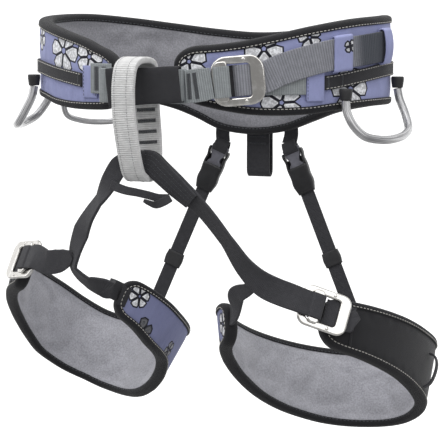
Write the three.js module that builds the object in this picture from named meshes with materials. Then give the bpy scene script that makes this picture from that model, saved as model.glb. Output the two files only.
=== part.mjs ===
// Climbing harness, small size, standing open as if worn. Millimetres, +Z up, the front faces -Y.
// The origin is the middle of the waist opening, level with the gear tape at the sides.
import * as THREE from 'three';

// waist belt
const waistHalfWidth = 135;      // padding's middle layer, centre to side
const waistHalfDepth = 100;      // padding's middle layer, centre to front
const waistFrom = 4.5;           // right wing's tip, degrees round from the front
const waistTo = 346.5;           // left wing's tip
const waistFoam = 7;
const waistNose = 18;            // how far the wing tips are rounded
// leg loops
const legHalfFront = 99;
const legFrontAt = -102;         // where the loops' front stays, measured from the origin
const legFlare = 0.15;           // the loop narrows this much for each mm down the thigh
const legTurn = 17;              // the loops turn in towards each other at the front
const legTo = 345;               // inner thigh end of the padding
const riserAngle = 206;          // where the riser joins the padding
const legFoam = 6;
const legNose = 12;
// layers and seams
const skin = 1;                  // lining and shell cloth
const gap = 0.3;                 // clearance between touching pieces
const bindingLip = 1.3;          // how far the edge binding stands out past the skins
const waistBinding = 8;
const legBinding = 7;
const tapeHeight = 10.5;
const tapeThick = 2;
// webbing
const tieInHeight = 25;
const tieInThick = 2.4;
const tieInClear = 8.5;          // rear strand of the tie-in loop, out from the padding's middle
const tieInSpread = 9.5;         // front strand, out from the rear one
const tieInLevel = -13.5;
const tailHeight = 22.5;
const tailThick = 2;
const tailLift = 2.9;            // tail's inner face, out from the shell: room for the anchor beneath
const belayWidth = 19;
const belayThick = 5;
const belayX = -12;
const haulX = -4;
const haulWidth = 20;
const haulThick = 2;
const legStrapThick = 3;
const riserWidth = 12;
const riserThick = 1.6;
// gear loops
const gearDrop = 41;
const gearFrontRadius = 3.2;
const gearRearRadius = 2.4;
const gearSleeveRadius = 4.8;
const gearSleeveHeight = 8.4;
// buckles and clips
const waistFrame = { length: 38, across: 34, corner: 9, thick: 3, window: [25, 24] };
const legFrame = { length: 35, across: 30, corner: 7, thick: 2.8, window: [23, 20] };
const clipWidth = 18;
const clipThick = 7;
const plugLength = 18;           // without its prongs
const socketLength = 22;

// heights that the pieces share, out from the padding's middle
const shellOut = waistFoam / 2 + gap + skin;
const onShell = shellOut + gap;
const overBinding = shellOut + bindingLip + gap;
const tailOut = onShell + tailLift;
const tieInRear = -(waistHalfDepth + tieInClear);
const tieInFront = tieInRear - tieInSpread;
const legFront = tieInFront - 2; // middle of the leg webbing where the belay loop holds it

const degree = Math.PI / 180;
const v = (x, y, z) => new THREE.Vector3(x, y, z);

// a closed solid from corners and triangles, always wound so that its faces point outward
function solid(corners, faces) {
  const volume = faces.reduce((sum, [a, b, c]) =>
    sum + corners[a].dot(corners[b].clone().cross(corners[c])), 0);
  const turned = volume < 0 ? faces.map(([a, b, c]) => [a, c, b]) : faces;
  const geometry = new THREE.BufferGeometry().setFromPoints(corners);
  geometry.setIndex(turned.flat());
  geometry.computeVertexNormals();
  return geometry;
}

// a skin stretched over a row of equal cross-sections, capped at both ends or joined into a ring
function loft(sections, ring = false) {
  const size = sections[0].length;
  const faces = [];
  const spans = ring ? sections.length : sections.length - 1;
  for (let k = 0; k < spans; k++) {
    for (let j = 0; j < size; j++) {
      const next = (j + 1) % size;
      const [here, there] = [k * size, ((k + 1) % sections.length) * size];
      faces.push([here + j, here + next, there + next], [here + j, there + next, there + j]);
    }
  }
  const last = (sections.length - 1) * size;
  for (let j = 1; j < size - 1 && !ring; j++) {
    faces.push([0, j + 1, j], [last, last + j, last + j + 1]);
  }
  return solid(sections.flat(), faces);
}

// the same, with a second row of cross-sections as the inside of a sleeve that is open at both ends
function hollowLoft(outer, inner) {
  const size = outer[0].length;
  const shift = outer.length * size;
  const faces = [];
  for (let j = 0; j < size; j++) {
    const next = (j + 1) % size;
    for (let k = 0; k < outer.length - 1; k++) {
      const [here, there] = [k * size, (k + 1) * size];
      faces.push([here + j, here + next, there + next], [here + j, there + next, there + j]);
      faces.push([shift + here + j, shift + there + next, shift + here + next]);
      faces.push([shift + here + j, shift + there + j, shift + there + next]);
    }
    const last = (outer.length - 1) * size;
    faces.push([j, shift + j, shift + next], [j, shift + next, next]);
    faces.push([last + j, shift + last + next, shift + last + j]);
    faces.push([last + j, last + next, shift + last + next]);
  }
  return solid([...outer.flat(), ...inner.flat()], faces);
}

// a band's path round the body: a faceted ellipse that narrows with depth
// angles run from the front towards the wearer's outer side, heights along the hoop's own axis
class Hoop {
  constructor(side, halfSide, halfFront, flare, facet) {
    Object.assign(this, { side, halfSide, halfFront, flare, facet });
  }

  corner(step, height, out) {
    const turn = step * this.facet * degree;
    const [sin, cos] = [Math.sin(turn), Math.cos(turn)];
    const normal = v(this.side * sin / this.halfSide, -cos / this.halfFront, 0).normalize();
    const narrow = this.flare * height;
    return v(this.side * (this.halfSide + narrow) * sin, -(this.halfFront + narrow) * cos, height)
      .addScaledVector(normal, out);
  }

  at(angle, height, out) {
    const step = Math.floor(angle / this.facet);
    return this.corner(step, height, out)
      .lerp(this.corner(step + 1, height, out), angle / this.facet - step);
  }

  reach(angle) {   // millimetres along the hoop for each degree
    return Math.hypot(this.halfSide * Math.cos(angle * degree),
      this.halfFront * Math.sin(angle * degree)) * degree;
  }

  between(from, to) {   // the two ends and each facet edge in between
    const steps = [from];
    for (let k = Math.ceil(from / this.facet + 0.05); k < to / this.facet - 0.05; k++) {
      steps.push(k * this.facet);
    }
    return [...steps, to];
  }
}

// a smooth height round a hoop through [angle, height] stations
function profile(stations) {
  const curve = new THREE.CubicInterpolant(
    stations.map((s) => s[0]), stations.map((s) => s[1]), 1);
  return (angle) => curve.evaluate(angle)[0];
}

// lower and upper edge of a pad with rounded ends, moved in from its outline by an inset
function padEdges(hoop, pad, inset = 0) {
  const start = pad.from + inset / hoop.reach(pad.from);
  const end = pad.to - inset / hoop.reach(pad.to);
  const round = pad.nose - inset;
  const ease = [0, 0.12, 0.36, 0.66, 1];
  const angles = [
    ...ease.map((e) => start + e * round / hoop.reach(start)),
    ...hoop.between(pad.from + pad.nose / hoop.reach(pad.from) + 0.5,
      pad.to - pad.nose / hoop.reach(pad.to) - 0.5).slice(1, -1),
    ...ease.map((e) => end - e * round / hoop.reach(end)).reverse(),
  ];
  const edges = { low: [], high: [] };
  for (const angle of angles) {
    const near = Math.min((angle - start) * hoop.reach(start), (end - angle) * hoop.reach(end));
    const share = THREE.MathUtils.clamp(near / round, 0, 1);
    const swell = 0.3 + 0.7 * Math.sqrt(1 - (1 - share) ** 2);
    const [top, bottom] = [pad.top(angle), pad.bottom(angle)];
    const middle = (top + bottom) / 2;
    edges.high.push([angle, middle + (top - middle - inset) * swell]);
    edges.low.push([angle, middle + (bottom - middle + inset) * swell]);
  }
  return edges;
}

// a layer of a pad between two distances out from its middle
function layer(hoop, edges, inner, outer) {
  return loft(edges.low.map(([angle, low], k) => {
    const [turn, high] = edges.high[k];
    return [hoop.at(angle, low, inner), hoop.at(angle, low, outer),
      hoop.at(turn, high, outer), hoop.at(turn, high, inner)];
  }));
}

// the bar that wraps a pad's whole rim
function rim(hoop, outline, inside, inner, outer) {
  const loop = ({ low, high }) => [...low, ...high.slice().reverse()];
  const within = loop(inside);
  return loft(loop(outline).map(([angle, height], k) => [
    hoop.at(angle, height, inner), hoop.at(angle, height, outer),
    hoop.at(within[k][0], within[k][1], outer), hoop.at(within[k][0], within[k][1], inner),
  ]), true);
}

// a strip of cloth or webbing that follows a hoop
function strip(hoop, from, to, low, high, inner, outer) {
  const edge = (height) => hoop.between(from, to).map((angle) => [angle, height(angle)]);
  return layer(hoop, { low: edge(low), high: edge(high) }, inner, outer);
}

// a flat strap through stations of { at, face, width, thick }; face is the way its flat side looks
function strap(stations, pieces) {
  const line = new THREE.CatmullRomCurve3(stations.map((s) => s.at), false, 'centripetal');
  const sections = [];
  for (let k = 0; k <= pieces; k++) {
    const place = k / pieces * (stations.length - 1);
    const i = Math.min(Math.floor(place), stations.length - 2);
    const [a, b, share] = [stations[i], stations[i + 1], place - i];
    const along = line.getTangent(k / pieces);
    const across = a.face.clone().lerp(b.face, share).cross(along).normalize()
      .multiplyScalar(THREE.MathUtils.lerp(a.width, b.width, share) / 2);
    const through = along.clone().cross(across).normalize()
      .multiplyScalar(THREE.MathUtils.lerp(a.thick, b.thick, share) / 2);
    const middle = line.getPoint(k / pieces);
    sections.push([[-1, -1], [1, -1], [1, 1], [-1, 1]].map(([side, depth]) =>
      middle.clone().addScaledVector(across, side).addScaledVector(through, depth)));
  }
  return loft(sections);
}

// a round bar along a smooth line
function bar(points, radius, steps) {
  const section = new THREE.Shape();
  section.absarc(0, 0, radius, 0, 2 * Math.PI);
  return new THREE.ExtrudeGeometry(section, {
    extrudePath: new THREE.CatmullRomCurve3(points, false, 'centripetal'),
    steps, curveSegments: 4, bevelEnabled: false,
  });
}

// webbing sewn into a ring: a closed line of [depth, height] pairs, given its width along X
function webbingRing(line, width, thick, pieces) {
  const curve = new THREE.CatmullRomCurve3(line.map(([y, z]) => v(0, y, z)), true);
  const sections = [];
  for (let k = 0; k < pieces; k++) {
    const place = curve.getPointAt(k / pieces);
    const through = curve.getTangentAt(k / pieces).cross(v(1, 0, 0)).multiplyScalar(thick / 2);
    sections.push([[-1, -1], [1, -1], [1, 1], [-1, 1]].map(([side, depth]) =>
      place.clone().addScaledVector(through, depth).add(v(side * width / 2, 0, 0))));
  }
  return loft(sections, true);
}

// a flat plate with rounded corners and, if given, a rounded window
function plate(length, across, corner, thick, window) {
  const outline = (l, a, r, path) => {
    const [x, y] = [l / 2 - r, a / 2 - r];
    path.absarc(x, y, r, 0, Math.PI / 2);
    path.absarc(-x, y, r, Math.PI / 2, Math.PI);
    path.absarc(-x, -y, r, Math.PI, 1.5 * Math.PI);
    path.absarc(x, -y, r, 1.5 * Math.PI, 2 * Math.PI);
    return path;
  };
  const bevel = 0.6;
  const shape = outline(length - 2 * bevel, across - 2 * bevel, corner - bevel, new THREE.Shape());
  if (window) shape.holes.push(outline(window[0], window[1], 3, new THREE.Path()));
  return new THREE.ExtrudeGeometry(shape, {
    depth: thick - 2 * bevel, bevelThickness: bevel, bevelSize: bevel, bevelSegments: 1, curveSegments: 5,
  }).translate(0, 0, bevel - thick / 2);
}

// a rectangular section, used by the sleeves
const oblong = (width, depth) => [[-1, -1], [1, -1], [1, 1], [-1, 1]]
  .map(([x, y]) => [x * width / 2, y * depth / 2]);

const harness = new THREE.Group();
harness.name = 'climbing_harness';
const belt = new THREE.Group();
harness.add(belt);

const finish = {
  shell: { color: 0x7d82be, roughness: 0.9, metalness: 0 },
  lining: { color: 0x8b8b94, roughness: 0.95, metalness: 0 },
  foam: { color: 0x3a3a3e, roughness: 1, metalness: 0 },
  binding: { color: 0x2a2a2d, roughness: 0.85, metalness: 0 },
  blackWeb: { color: 0x35353a, roughness: 0.8, metalness: 0 },
  greyWeb: { color: 0x9aa09f, roughness: 0.8, metalness: 0 },
  tailWeb: { color: 0x5b5c60, roughness: 0.8, metalness: 0 },
  belayWeb: { color: 0xc9c9c7, roughness: 0.8, metalness: 0 },
  metal: { color: 0xd8d6d2, roughness: 0.3, metalness: 1 },
  tube: { color: 0xc4c6c8, roughness: 0.35, metalness: 0.1 },
  clipGrey: { color: 0x74747c, roughness: 0.5, metalness: 0 },
  clipBlack: { color: 0x1f1f21, roughness: 0.5, metalness: 0 },
};

function add(group, name, geometry, look) {
  const mesh = new THREE.Mesh(geometry, new THREE.MeshStandardMaterial(look));
  mesh.name = name;
  group.add(mesh);
  return mesh;
}

// stands a mesh at a place, with its X along one direction and its Z along another
function stand(mesh, place, along, facing) {
  const z = facing.clone().normalize();
  const x = along.clone().addScaledVector(z, -along.dot(z)).normalize();
  mesh.quaternion.setFromRotationMatrix(new THREE.Matrix4().makeBasis(x, z.clone().cross(x), z));
  mesh.position.copy(place);
  return mesh;
}

// ---- waist belt ----
const waist = new Hoop(1, waistHalfWidth, waistHalfDepth, 0, 6);
const waistPad = {
  from: waistFrom,
  to: waistTo,
  nose: waistNose,
  top: profile([[0, 15], [12, 15.7], [24, 18.3], [37, 24], [50, 29.7], [67, 34.6], [84, 36.5],
    [110, 37], [135, 33], [160, 25.5], [180, 22.6], [194, 25], [208, 29], [226, 34], [246, 37.5],
    [268, 37], [290, 34.5], [307, 30], [320, 25], [331, 19.5], [339, 13], [350, 8]]),
  bottom: profile([[0, -22], [8, -25], [14, -28.5], [20, -31.5], [30, -34.7], [48, -34.6],
    [58, -32.4], [70, -30.6], [85, -30], [105, -31], [130, -35], [148, -41.6], [158, -49], [168, -57],
    [178, -61], [187, -60.7], [195, -57], [203, -48], [212, -40], [230, -32], [255, -28], [290, -26.5],
    [305, -28], [314, -31], [326, -33], [350, -32]]),
};
const foamOut = waistFoam / 2;
const outline = padEdges(waist, waistPad);
const bindingIn = padEdges(waist, waistPad, waistBinding);
const beltIn = padEdges(waist, waistPad, waistBinding + gap);
add(belt, 'waist_foam', layer(waist, beltIn, -foamOut, foamOut), finish.foam);
add(belt, 'waist_lining', layer(waist, beltIn, -shellOut, -foamOut - gap), finish.lining);
add(belt, 'waist_shell', layer(waist, beltIn, foamOut + gap, shellOut), finish.shell);
add(belt, 'waist_binding',
  rim(waist, outline, bindingIn, -shellOut - bindingLip, shellOut + bindingLip), finish.binding);

// gear tape, sewn round the outside of the padding between the two tunnels
const tapeLevel = profile([[50, -12.6], [58, -10.7], [70, -7], [85, -3.7], [105, -3], [140, -7],
  [180, -9], [220, -7], [250, -3.5], [275, -2.4], [302, -3], [318, -7], [332, -11.2]]);
const tapeFrom = 53.8;
const tapeTo = 331.2;
add(belt, 'gear_tape', strip(waist, tapeFrom, tapeTo, (a) => tapeLevel(a) - tapeHeight / 2,
  (a) => tapeLevel(a) + tapeHeight / 2, onShell, onShell + tapeThick), finish.blackWeb);
add(belt, 'tunnel_left', strip(waist, tapeTo + 0.4, 337.4, () => -24, () => 2,
  onShell, onShell + 3), finish.shell);
add(belt, 'tunnel_right', strip(waist, 47.1, tapeFrom - 0.3, () => -24.8, () => 1,
  onShell, tailOut - gap), finish.shell);
add(belt, 'anchor_left', strip(waist, 337.7, 343.6, () => tieInLevel - 7, () => tieInLevel + 15,
  overBinding, overBinding + tieInThick), finish.greyWeb);
add(belt, 'anchor_right', strip(waist, 33, 46.8, () => -20, () => 2, onShell, tailOut - gap),
  finish.greyWeb);

// tie-in loop: two strands of webbing joined at both ends, the front one in a black sleeve
const tieInEnds = [-42, 24];
const bend = (tieInRear - tieInFront) / 2;
const tieInMiddle = (tieInRear + tieInFront) / 2;
const tieInRing = [];
for (const [end, first] of [[tieInEnds[1] - bend, -90], [tieInEnds[0] + bend, 90]]) {
  for (let turn = first; turn <= first + 180; turn += 30) {
    tieInRing.push([end + bend * Math.cos(turn * degree), tieInMiddle + bend * Math.sin(turn * degree)]);
  }
}
add(belt, 'tie_in_webbing', loft(tieInRing.map(([x, y], k) => {
  const turn = (k < 7 ? -90 + 30 * k : 90 + 30 * (k - 7)) * degree;
  const out = v(Math.cos(turn), Math.sin(turn), 0).multiplyScalar(tieInThick / 2);
  return [[-1, -1], [1, -1], [1, 1], [-1, 1]].map(([depth, side]) =>
    v(x, y, tieInLevel + side * tieInHeight / 2).addScaledVector(out, depth));
}), true), finish.greyWeb);
const sleeveEnds = [-34, 19];
const sleeveSection = (x, depth, height) => oblong(depth, height)
  .map(([y, z]) => v(x, tieInFront + y, tieInLevel + z));
add(belt, 'tie_in_sleeve', hollowLoft(
  sleeveEnds.map((x) => sleeveSection(x, tieInThick + 5, tieInHeight + 3)),
  sleeveEnds.map((x) => sleeveSection(x, tieInThick + 2 * gap, tieInHeight + 2 * gap)),
), finish.blackWeb);

// waist buckle: a frame with one window and a slider plate, on the right wing
const buckleAngle = 23.5;
const buckleOut = tailOut + tailThick + 5.2;
const buckleAt = waist.at(buckleAngle, -9.5, buckleOut);
const buckleFacing = waist.at(buckleAngle, 0, 1).sub(waist.at(buckleAngle, 0, 0)).normalize();
const buckleAlong = v(0, 0, 1).cross(buckleFacing).add(v(0, 0, 0.09)).normalize();
const { length: wf, across: wa, corner: wr, thick: wt, window: ww } = waistFrame;
stand(add(belt, 'waist_buckle_frame', plate(wf, wa, wr, wt, ww), finish.metal),
  buckleAt, buckleAlong, buckleFacing);
const waistSliderWide = 9;
const sliderThick = 2.4;
const waistSliderBack = 7.5;     // slider's centre, back from the frame's
stand(add(belt, 'waist_buckle_slider',
  plate(waistSliderWide, ww[1] + 5, 3, sliderThick), finish.metal),
buckleAt.clone().addScaledVector(buckleAlong, -waistSliderBack)
  .addScaledVector(buckleFacing, (wt + sliderThick) / 2 + gap), buckleAlong, buckleFacing);
const strapEnd = buckleAt.clone()
  .addScaledVector(buckleAlong, -waistSliderBack - waistSliderWide / 2 - 2.6)
  .addScaledVector(buckleFacing, (wt + sliderThick) / 2 + gap + 0.4);
const webFace = v(0, -1, 0);
const strapFlat = { width: 24, thick: tieInThick };
add(belt, 'buckle_strap', strap([
  { ...strapFlat, at: v(tieInEnds[1] + 2, tieInFront + 2.6, tieInLevel), face: webFace },
  { ...strapFlat, at: strapEnd.clone().add(v(-12.7, -2.6, -2.2)), face: webFace },
  { ...strapFlat, at: strapEnd.clone().add(v(-6, -2.3, -1.1)), face: webFace },
  { at: strapEnd, face: buckleFacing, width: 22.5, thick: sliderThick - 0.4 },
], 12), finish.greyWeb);

// the loose end of the waist webbing, lying along the right wing under two keepers
const tailLevel = profile([[20, -10], [31.6, -6.5], [44, 2.6], [56, 8.7], [70, 12], [83, 14.4], [95, 15]]);
add(belt, 'waist_tail', strip(waist, 27, 87.5, (a) => tailLevel(a) - tailHeight / 2,
  (a) => tailLevel(a) + tailHeight / 2, tailOut, tailOut + tailThick), finish.tailWeb);
function keeper(name, from, to) {
  const sections = (half, inner, outer) => waist.between(from, to).map((a) => [
    waist.at(a, tailLevel(a) - half, inner), waist.at(a, tailLevel(a) - half, outer),
    waist.at(a, tailLevel(a) + half, outer), waist.at(a, tailLevel(a) + half, inner)]);
  const inside = tailHeight / 2 + gap;
  add(belt, name, hollowLoft(
    sections(inside + 1.2, onShell, tailOut + tailThick + gap + 1.2),
    sections(inside, tailOut - gap, tailOut + tailThick + gap),
  ), finish.shell);
}
keeper('keeper_front', 56.4, 63.8);
keeper('keeper_side', 80.5, 86);

// belay loop, hung on the tie-in loop and holding the leg straps at its foot
const belay = [[-20.5, -30], [-20.3, -12], [-16, 0.4], [-7, 4.6], [7, 4.8], [17, 1.4],
  [20.8, -11], [20.7, -30], [20.6, -52], [18.9, -68], [12, -77.2], [0, -80.4],
  [-12, -77.4], [-18.8, -68], [-20.4, -50]];
add(belt, 'belay_loop', webbingRing(belay, belayWidth, belayThick, 44).translate(belayX, legFront, 0),
  finish.belayWeb);

// haul loop at the middle of the back
const haulY = waistHalfDepth + shellOut + bindingLip + 1 + 3.5 + haulThick;
const haul = [[-3.5, -58], [-3.5, -70], [-3.7, -84], [-3, -93.5], [0, -96], [3, -93.5], [3.7, -84],
  [3.5, -70], [3.5, -58], [2.4, -51.5], [0, -50], [-2.4, -51.5]];
add(belt, 'haul_loop', webbingRing(haul.map(([y, z]) => [haulY + y, z]), haulWidth, haulThick, 30)
  .translate(haulX, 0, 0), finish.blackWeb);

// gear loops: a stiff tube that hangs from the tape's lower edge, the front ones in two sleeves
const gearStandoff = overBinding + gearSleeveRadius;
function gearLoop(name, from, to, radius, sleeved) {
  const shape = [[0, 0, 0], [0, 0.25, 0.5], [0.03, 0.55, 2.5], [0.12, 0.82, 4.5], [0.3, 0.96, 5.8],
    [0.5, 1, 6], [0.7, 0.97, 5.8], [0.88, 0.86, 4.5], [0.97, 0.58, 2.5], [1, 0.25, 0.5], [1, 0, 0]];
  const hang = (angle) => tapeLevel(angle) - tapeHeight / 2 - 0.8;
  const hidden = sleeved ? gearSleeveHeight + gap : 0;
  const drop = gearDrop - hidden;
  const [first, last] = [from, to].map((angle) => hang(angle) - hidden);
  add(belt, name, bar(shape.map(([share, down, out]) => waist.at(
    from + (to - from) * share, first + (last - first) * share - drop * down, gearStandoff + out,
  )), radius, 26), finish.tube);
  for (const [angle, end] of sleeved ? [[from, 'a'], [to, 'b']] : []) {
    add(belt, `${name}_sleeve_${end}`, bar([0, 0.5, 1].map((share) => waist.at(angle,
      hang(angle) - gearSleeveHeight * share, gearStandoff)), gearSleeveRadius, 2), finish.blackWeb);
  }
}
gearLoop('gear_loop_front_right', 61, 96.5, gearFrontRadius, true);
gearLoop('gear_loop_rear_left', 220, 255, gearRearRadius, false);
gearLoop('gear_loop_front_left', 263.5, 299, gearFrontRadius, true);

// leg tie-in: the doubled webbing that the belay loop holds
add(belt, 'leg_tie_in', strap([
  { at: v(-19.4, legFront, -69), face: webFace, width: 11, thick: 8 },
  { at: v(belayX, legFront, -68.4), face: webFace, width: 13, thick: 8 },
  { at: v(-4.6, legFront, -68.8), face: webFace, width: 12, thick: 8 },
], 6), finish.blackWeb);
add(belt, 'cross_strap', strap([
  { at: v(-28.6, legFront - 6.5, -88.4), face: webFace, width: 6, thick: 1.2 },
  { at: v(-15, legFront - 7, -89), face: webFace, width: 6, thick: 1.2 },
  { at: v(-3, legFront - 5, -91.5), face: webFace, width: 6, thick: 1.2 },
  { at: v(7, legFront - 2.5, -94.5), face: webFace, width: 6, thick: 1.2 },
], 8), finish.blackWeb);

// ---- leg loops ----
const legs = {
  right: {
    side: 1,
    from: 44,
    halfSide: 67,
    inner: 30,
    level: -200,
    roll: 12,
    pitch: 19,
    top: [[30, 0], [60, 1], [90, 0], [116, -2], [150, -1], [200, 1], [245, 1], [275, 2], [300, 3],
      [330, 2], [352, 0]],
    bottom: [[30, -27], [44, -31], [55, -35.5], [69, -38.5], [92, -44], [118, -51], [147, -56],
      [175, -60.5], [200, -62], [230, -62], [245, -60], [260, -57], [275, -52], [293, -43.5],
      [310, -36], [345, -29]],
    buckle: { angle: 44, height: -10.5, tilt: -0.26 },
    keeper: 0.52,
    front: [[-1.3, 0, -68.4, 9], [3, 0, -71, 12], [9, 0, -77, 17], [20, 1.5, -85, 19],
      [37.5, 5, -101, 19], [56, 8, -124, 19], [70, 10.5, -144, 19], [83.5, 12, -155.5, 19]],
    branch: [[69, 14.7, -161.5, 12], [61.5, 18.5, -167, 11]],
    riserX: 24.6,
  },
  left: {
    side: -1,
    from: 54,
    halfSide: 72,
    inner: 20,
    level: -181,
    roll: 20,
    pitch: 19,
    top: [[30, 3], [60, 4], [100, 5], [134, 6], [147, 5], [162, 2], [180, -1], [200, -1], [240, -4],
      [270, -5], [297, -4], [310, -2], [327, 0], [340, 0], [352, -4]],
    bottom: [[30, -27], [44, -29], [60, -31], [80, -34], [100, -39], [115, -45], [129, -52],
      [141, -58], [154, -61], [167, -63], [182, -64], [200, -66], [235, -66], [252, -60], [268, -52],
      [285, -43.5], [297, -41], [310, -39], [328, -33], [345, -29]],
    buckle: { angle: 46, height: -12, tilt: -0.1 },
    keeper: 0.62,
    front: [[-22.7, 0, -68.6, 9], [-27, 0, -71.4, 10.5], [-30.5, 0, -79, 12], [-33.5, -2, -87.5, 14],
      [-41, -1, -100, 15], [-50.3, 1, -116.7, 15], [-60.6, 4, -132.4, 16], [-66.5, 7.5, -143, 17],
      [-64.5, 12, -153.5, 18], [-54.2, 16.5, -161.3, 17]],
    branch: [[-77, 8.5, -145.5, 15], [-88, 11, -147, 18]],
    riserX: -34.6,
  },
};

function buildLeg(word, leg) {
  const hoop = new Hoop(leg.side, leg.halfSide, legHalfFront, legFlare, 7.5);
  const group = new THREE.Group();
  harness.add(group);
  group.position.set(leg.side * (leg.inner + leg.halfSide), legFrontAt + legHalfFront, leg.level);
  const turned = new THREE.Matrix4().makeRotationZ(-leg.side * legTurn * degree);
  const rolled = new THREE.Matrix4().makeRotationY(-leg.side * leg.roll * degree);
  const pitched = new THREE.Matrix4().makeRotationX(-leg.pitch * degree);
  group.quaternion.setFromRotationMatrix(turned.multiply(rolled).multiply(pitched));
  group.updateMatrix();
  const there = (angle, height, out) => hoop.at(angle, height, out).applyMatrix4(group.matrix);
  const facing = (angle) => there(angle, 0, 1).sub(there(angle, 0, 0)).normalize();

  const pad = {
    from: leg.from, to: legTo, nose: legNose, top: profile(leg.top), bottom: profile(leg.bottom),
  };
  const half = legFoam / 2;
  const shell = half + gap + skin;
  const inside = padEdges(hoop, pad, legBinding + gap);
  add(group, `leg_foam_${word}`, layer(hoop, inside, -half, half), finish.foam);
  add(group, `leg_lining_${word}`, layer(hoop, inside, -shell, -half - gap), finish.lining);
  // the outer skin is black on the outer thigh and coloured on the inner thigh
  const seam = inside.low.findIndex(([angle]) => angle > 185);
  const cut = (from, to, shift) => {
    const part = { low: inside.low.slice(from, to), high: inside.high.slice(from, to) };
    if (shift) part.low[0] = [part.low[0][0] + shift, part.low[0][1]];
    if (shift) part.high[0] = [part.high[0][0] + shift, part.high[0][1]];
    return part;
  };
  add(group, `lateral_panel_${word}`, layer(hoop, cut(0, seam + 1), half + gap, shell), finish.blackWeb);
  add(group, `leg_shell_${word}`, layer(hoop, cut(seam, inside.low.length, 0.3), half + gap, shell),
    finish.shell);
  add(group, `leg_binding_${word}`, rim(hoop, padEdges(hoop, pad), padEdges(hoop, pad, legBinding),
    -shell - bindingLip, shell + bindingLip), finish.binding);

  // buckle in front of the padding's outer end
  const { length, across, corner, thick, window } = legFrame;
  const normal = facing(leg.buckle.angle);
  const place = there(leg.buckle.angle, leg.buckle.height, shell + 7);
  const along = there(leg.buckle.angle + 4, leg.buckle.height, 0)
    .sub(there(leg.buckle.angle - 4, leg.buckle.height, 0)).normalize()
    .add(v(0, 0, leg.buckle.tilt)).normalize();
  stand(add(harness, `leg_buckle_frame_${word}`, plate(length, across, corner, thick, window),
    finish.metal), place, along, normal);
  const wide = 8;
  const sliderAt = place.clone().addScaledVector(along, -6.5)
    .addScaledVector(normal, (thick + sliderThick) / 2 + gap);
  stand(add(harness, `leg_buckle_slider_${word}`, plate(wide, window[1] + 4, 2.6, sliderThick),
    finish.metal), sliderAt, along, normal);

  // webbing: a long strap from the tie-in, and a short branch from its bend
  const station = ([x, back, z, width]) => (
    { at: v(x, legFront + back, z), face: webFace, width, thick: legStrapThick });
  const toBuckle = [
    { at: place.clone().addScaledVector(along, -22).addScaledVector(normal, 4), face: normal, width: 19,
      thick: legStrapThick },
    { at: sliderAt.clone().addScaledVector(along, -wide / 2 - gap).addScaledVector(normal, 0.6),
      face: normal, width: 19, thick: 2.2 },
  ];
  const toPad = [{ at: there(351, leg.side > 0 ? -10 : -13, 2), face: facing(345), width: 15, thick: 2.6 }];
  const [longEnd, shortEnd] = leg.side > 0 ? [toBuckle, toPad] : [toPad, toBuckle];
  add(harness, `front_strap_${word}`, strap([...leg.front.map(station), ...longEnd], 26), finish.blackWeb);
  add(harness, `branch_strap_${word}`, strap([...leg.branch.map(station), ...shortEnd], 10),
    finish.blackWeb);

  // riser: from the belt's back edge, through a side release clip, down to the padding's back
  const top = v(leg.riserX, waistHalfDepth + shellOut + bindingLip + 2.4, -52);
  const foot = there(riserAngle, -14, shell + bindingLip + 1.4);
  const brow = there(riserAngle, 2, shell + bindingLip + 1.6);
  const clipAt = top.clone().add(v(leg.side * 4.5, -3, -28.5));
  const down = brow.clone().sub(clipAt).normalize();
  const back = v(0, 1, 0);
  const flat = { face: back, width: riserWidth, thick: riserThick };
  add(harness, `riser_web_${word}`, strap([
    { ...flat, at: top },
    { ...flat, at: top.clone().add(v(leg.side * 0.8, -0.4, -9)) },
    { ...flat, at: clipAt.clone().addScaledVector(down, -plugLength / 2 - 3.6) },
  ], 6), finish.blackWeb);
  const plug = new THREE.Shape();
  const w = clipWidth / 2 - 2.4;
  const root = 1 - plugLength / 2;
  const tip = root - 12;
  plug.setFromPoints([[-w - 1.5, plugLength / 2], [w + 1.5, plugLength / 2], [w + 1.5, root], [w, root],
    [w, tip], [w - 3, tip], [w - 3.4, root], [2.4, root], [2.2, tip - 1], [-2.2, tip - 1], [-2.4, root],
    [3.4 - w, root], [3 - w, tip], [-w, tip], [-w, root], [-w - 1.5, root]]
    .map(([x, y]) => new THREE.Vector2(x, y)));
  const plugMesh = add(harness, `clip_plug_${word}`,
    new THREE.ExtrudeGeometry(plug, { depth: 3.4, bevelEnabled: false }).translate(0, 0, -1.7),
    finish.clipGrey);
  const sideways = back.clone().cross(down).normalize();
  const upright = new THREE.Matrix4().makeBasis(sideways.clone().negate(), down.clone().negate(),
    sideways.clone().cross(down));
  plugMesh.quaternion.setFromRotationMatrix(upright);
  plugMesh.position.copy(clipAt);
  const mouth = root - 0.5;
  const socketSection = (y, width, depth) => oblong(width, depth).map(([x, z]) => v(x, y, z));
  const socketMesh = add(harness, `clip_socket_${word}`, hollowLoft(
    [socketSection(mouth, clipWidth, clipThick), socketSection(mouth - 15, clipWidth, clipThick),
      socketSection(mouth - socketLength, clipWidth - 2.5, clipThick - 2)],
    [socketSection(mouth, clipWidth - 4, 4.2), socketSection(mouth - 15, clipWidth - 4, 4.2),
      socketSection(mouth - socketLength, riserWidth + 1, 2.6)],
  ), finish.clipBlack);
  socketMesh.quaternion.copy(plugMesh.quaternion);
  socketMesh.position.copy(clipAt);
  const strapTop = clipAt.clone().addScaledVector(down, plugLength / 2 + 16);
  const route = [strapTop, clipAt.clone().lerp(brow, 0.55), clipAt.clone().lerp(brow, 0.85),
    brow.clone().addScaledVector(down, -4), brow, foot];
  add(harness, `riser_strap_${word}`, strap(route.map((at, k) => ({
    ...flat, at, face: k > 3 ? facing(riserAngle) : back })), 18), finish.blackWeb);
  const bandAt = clipAt.clone().lerp(brow, leg.keeper);
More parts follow.
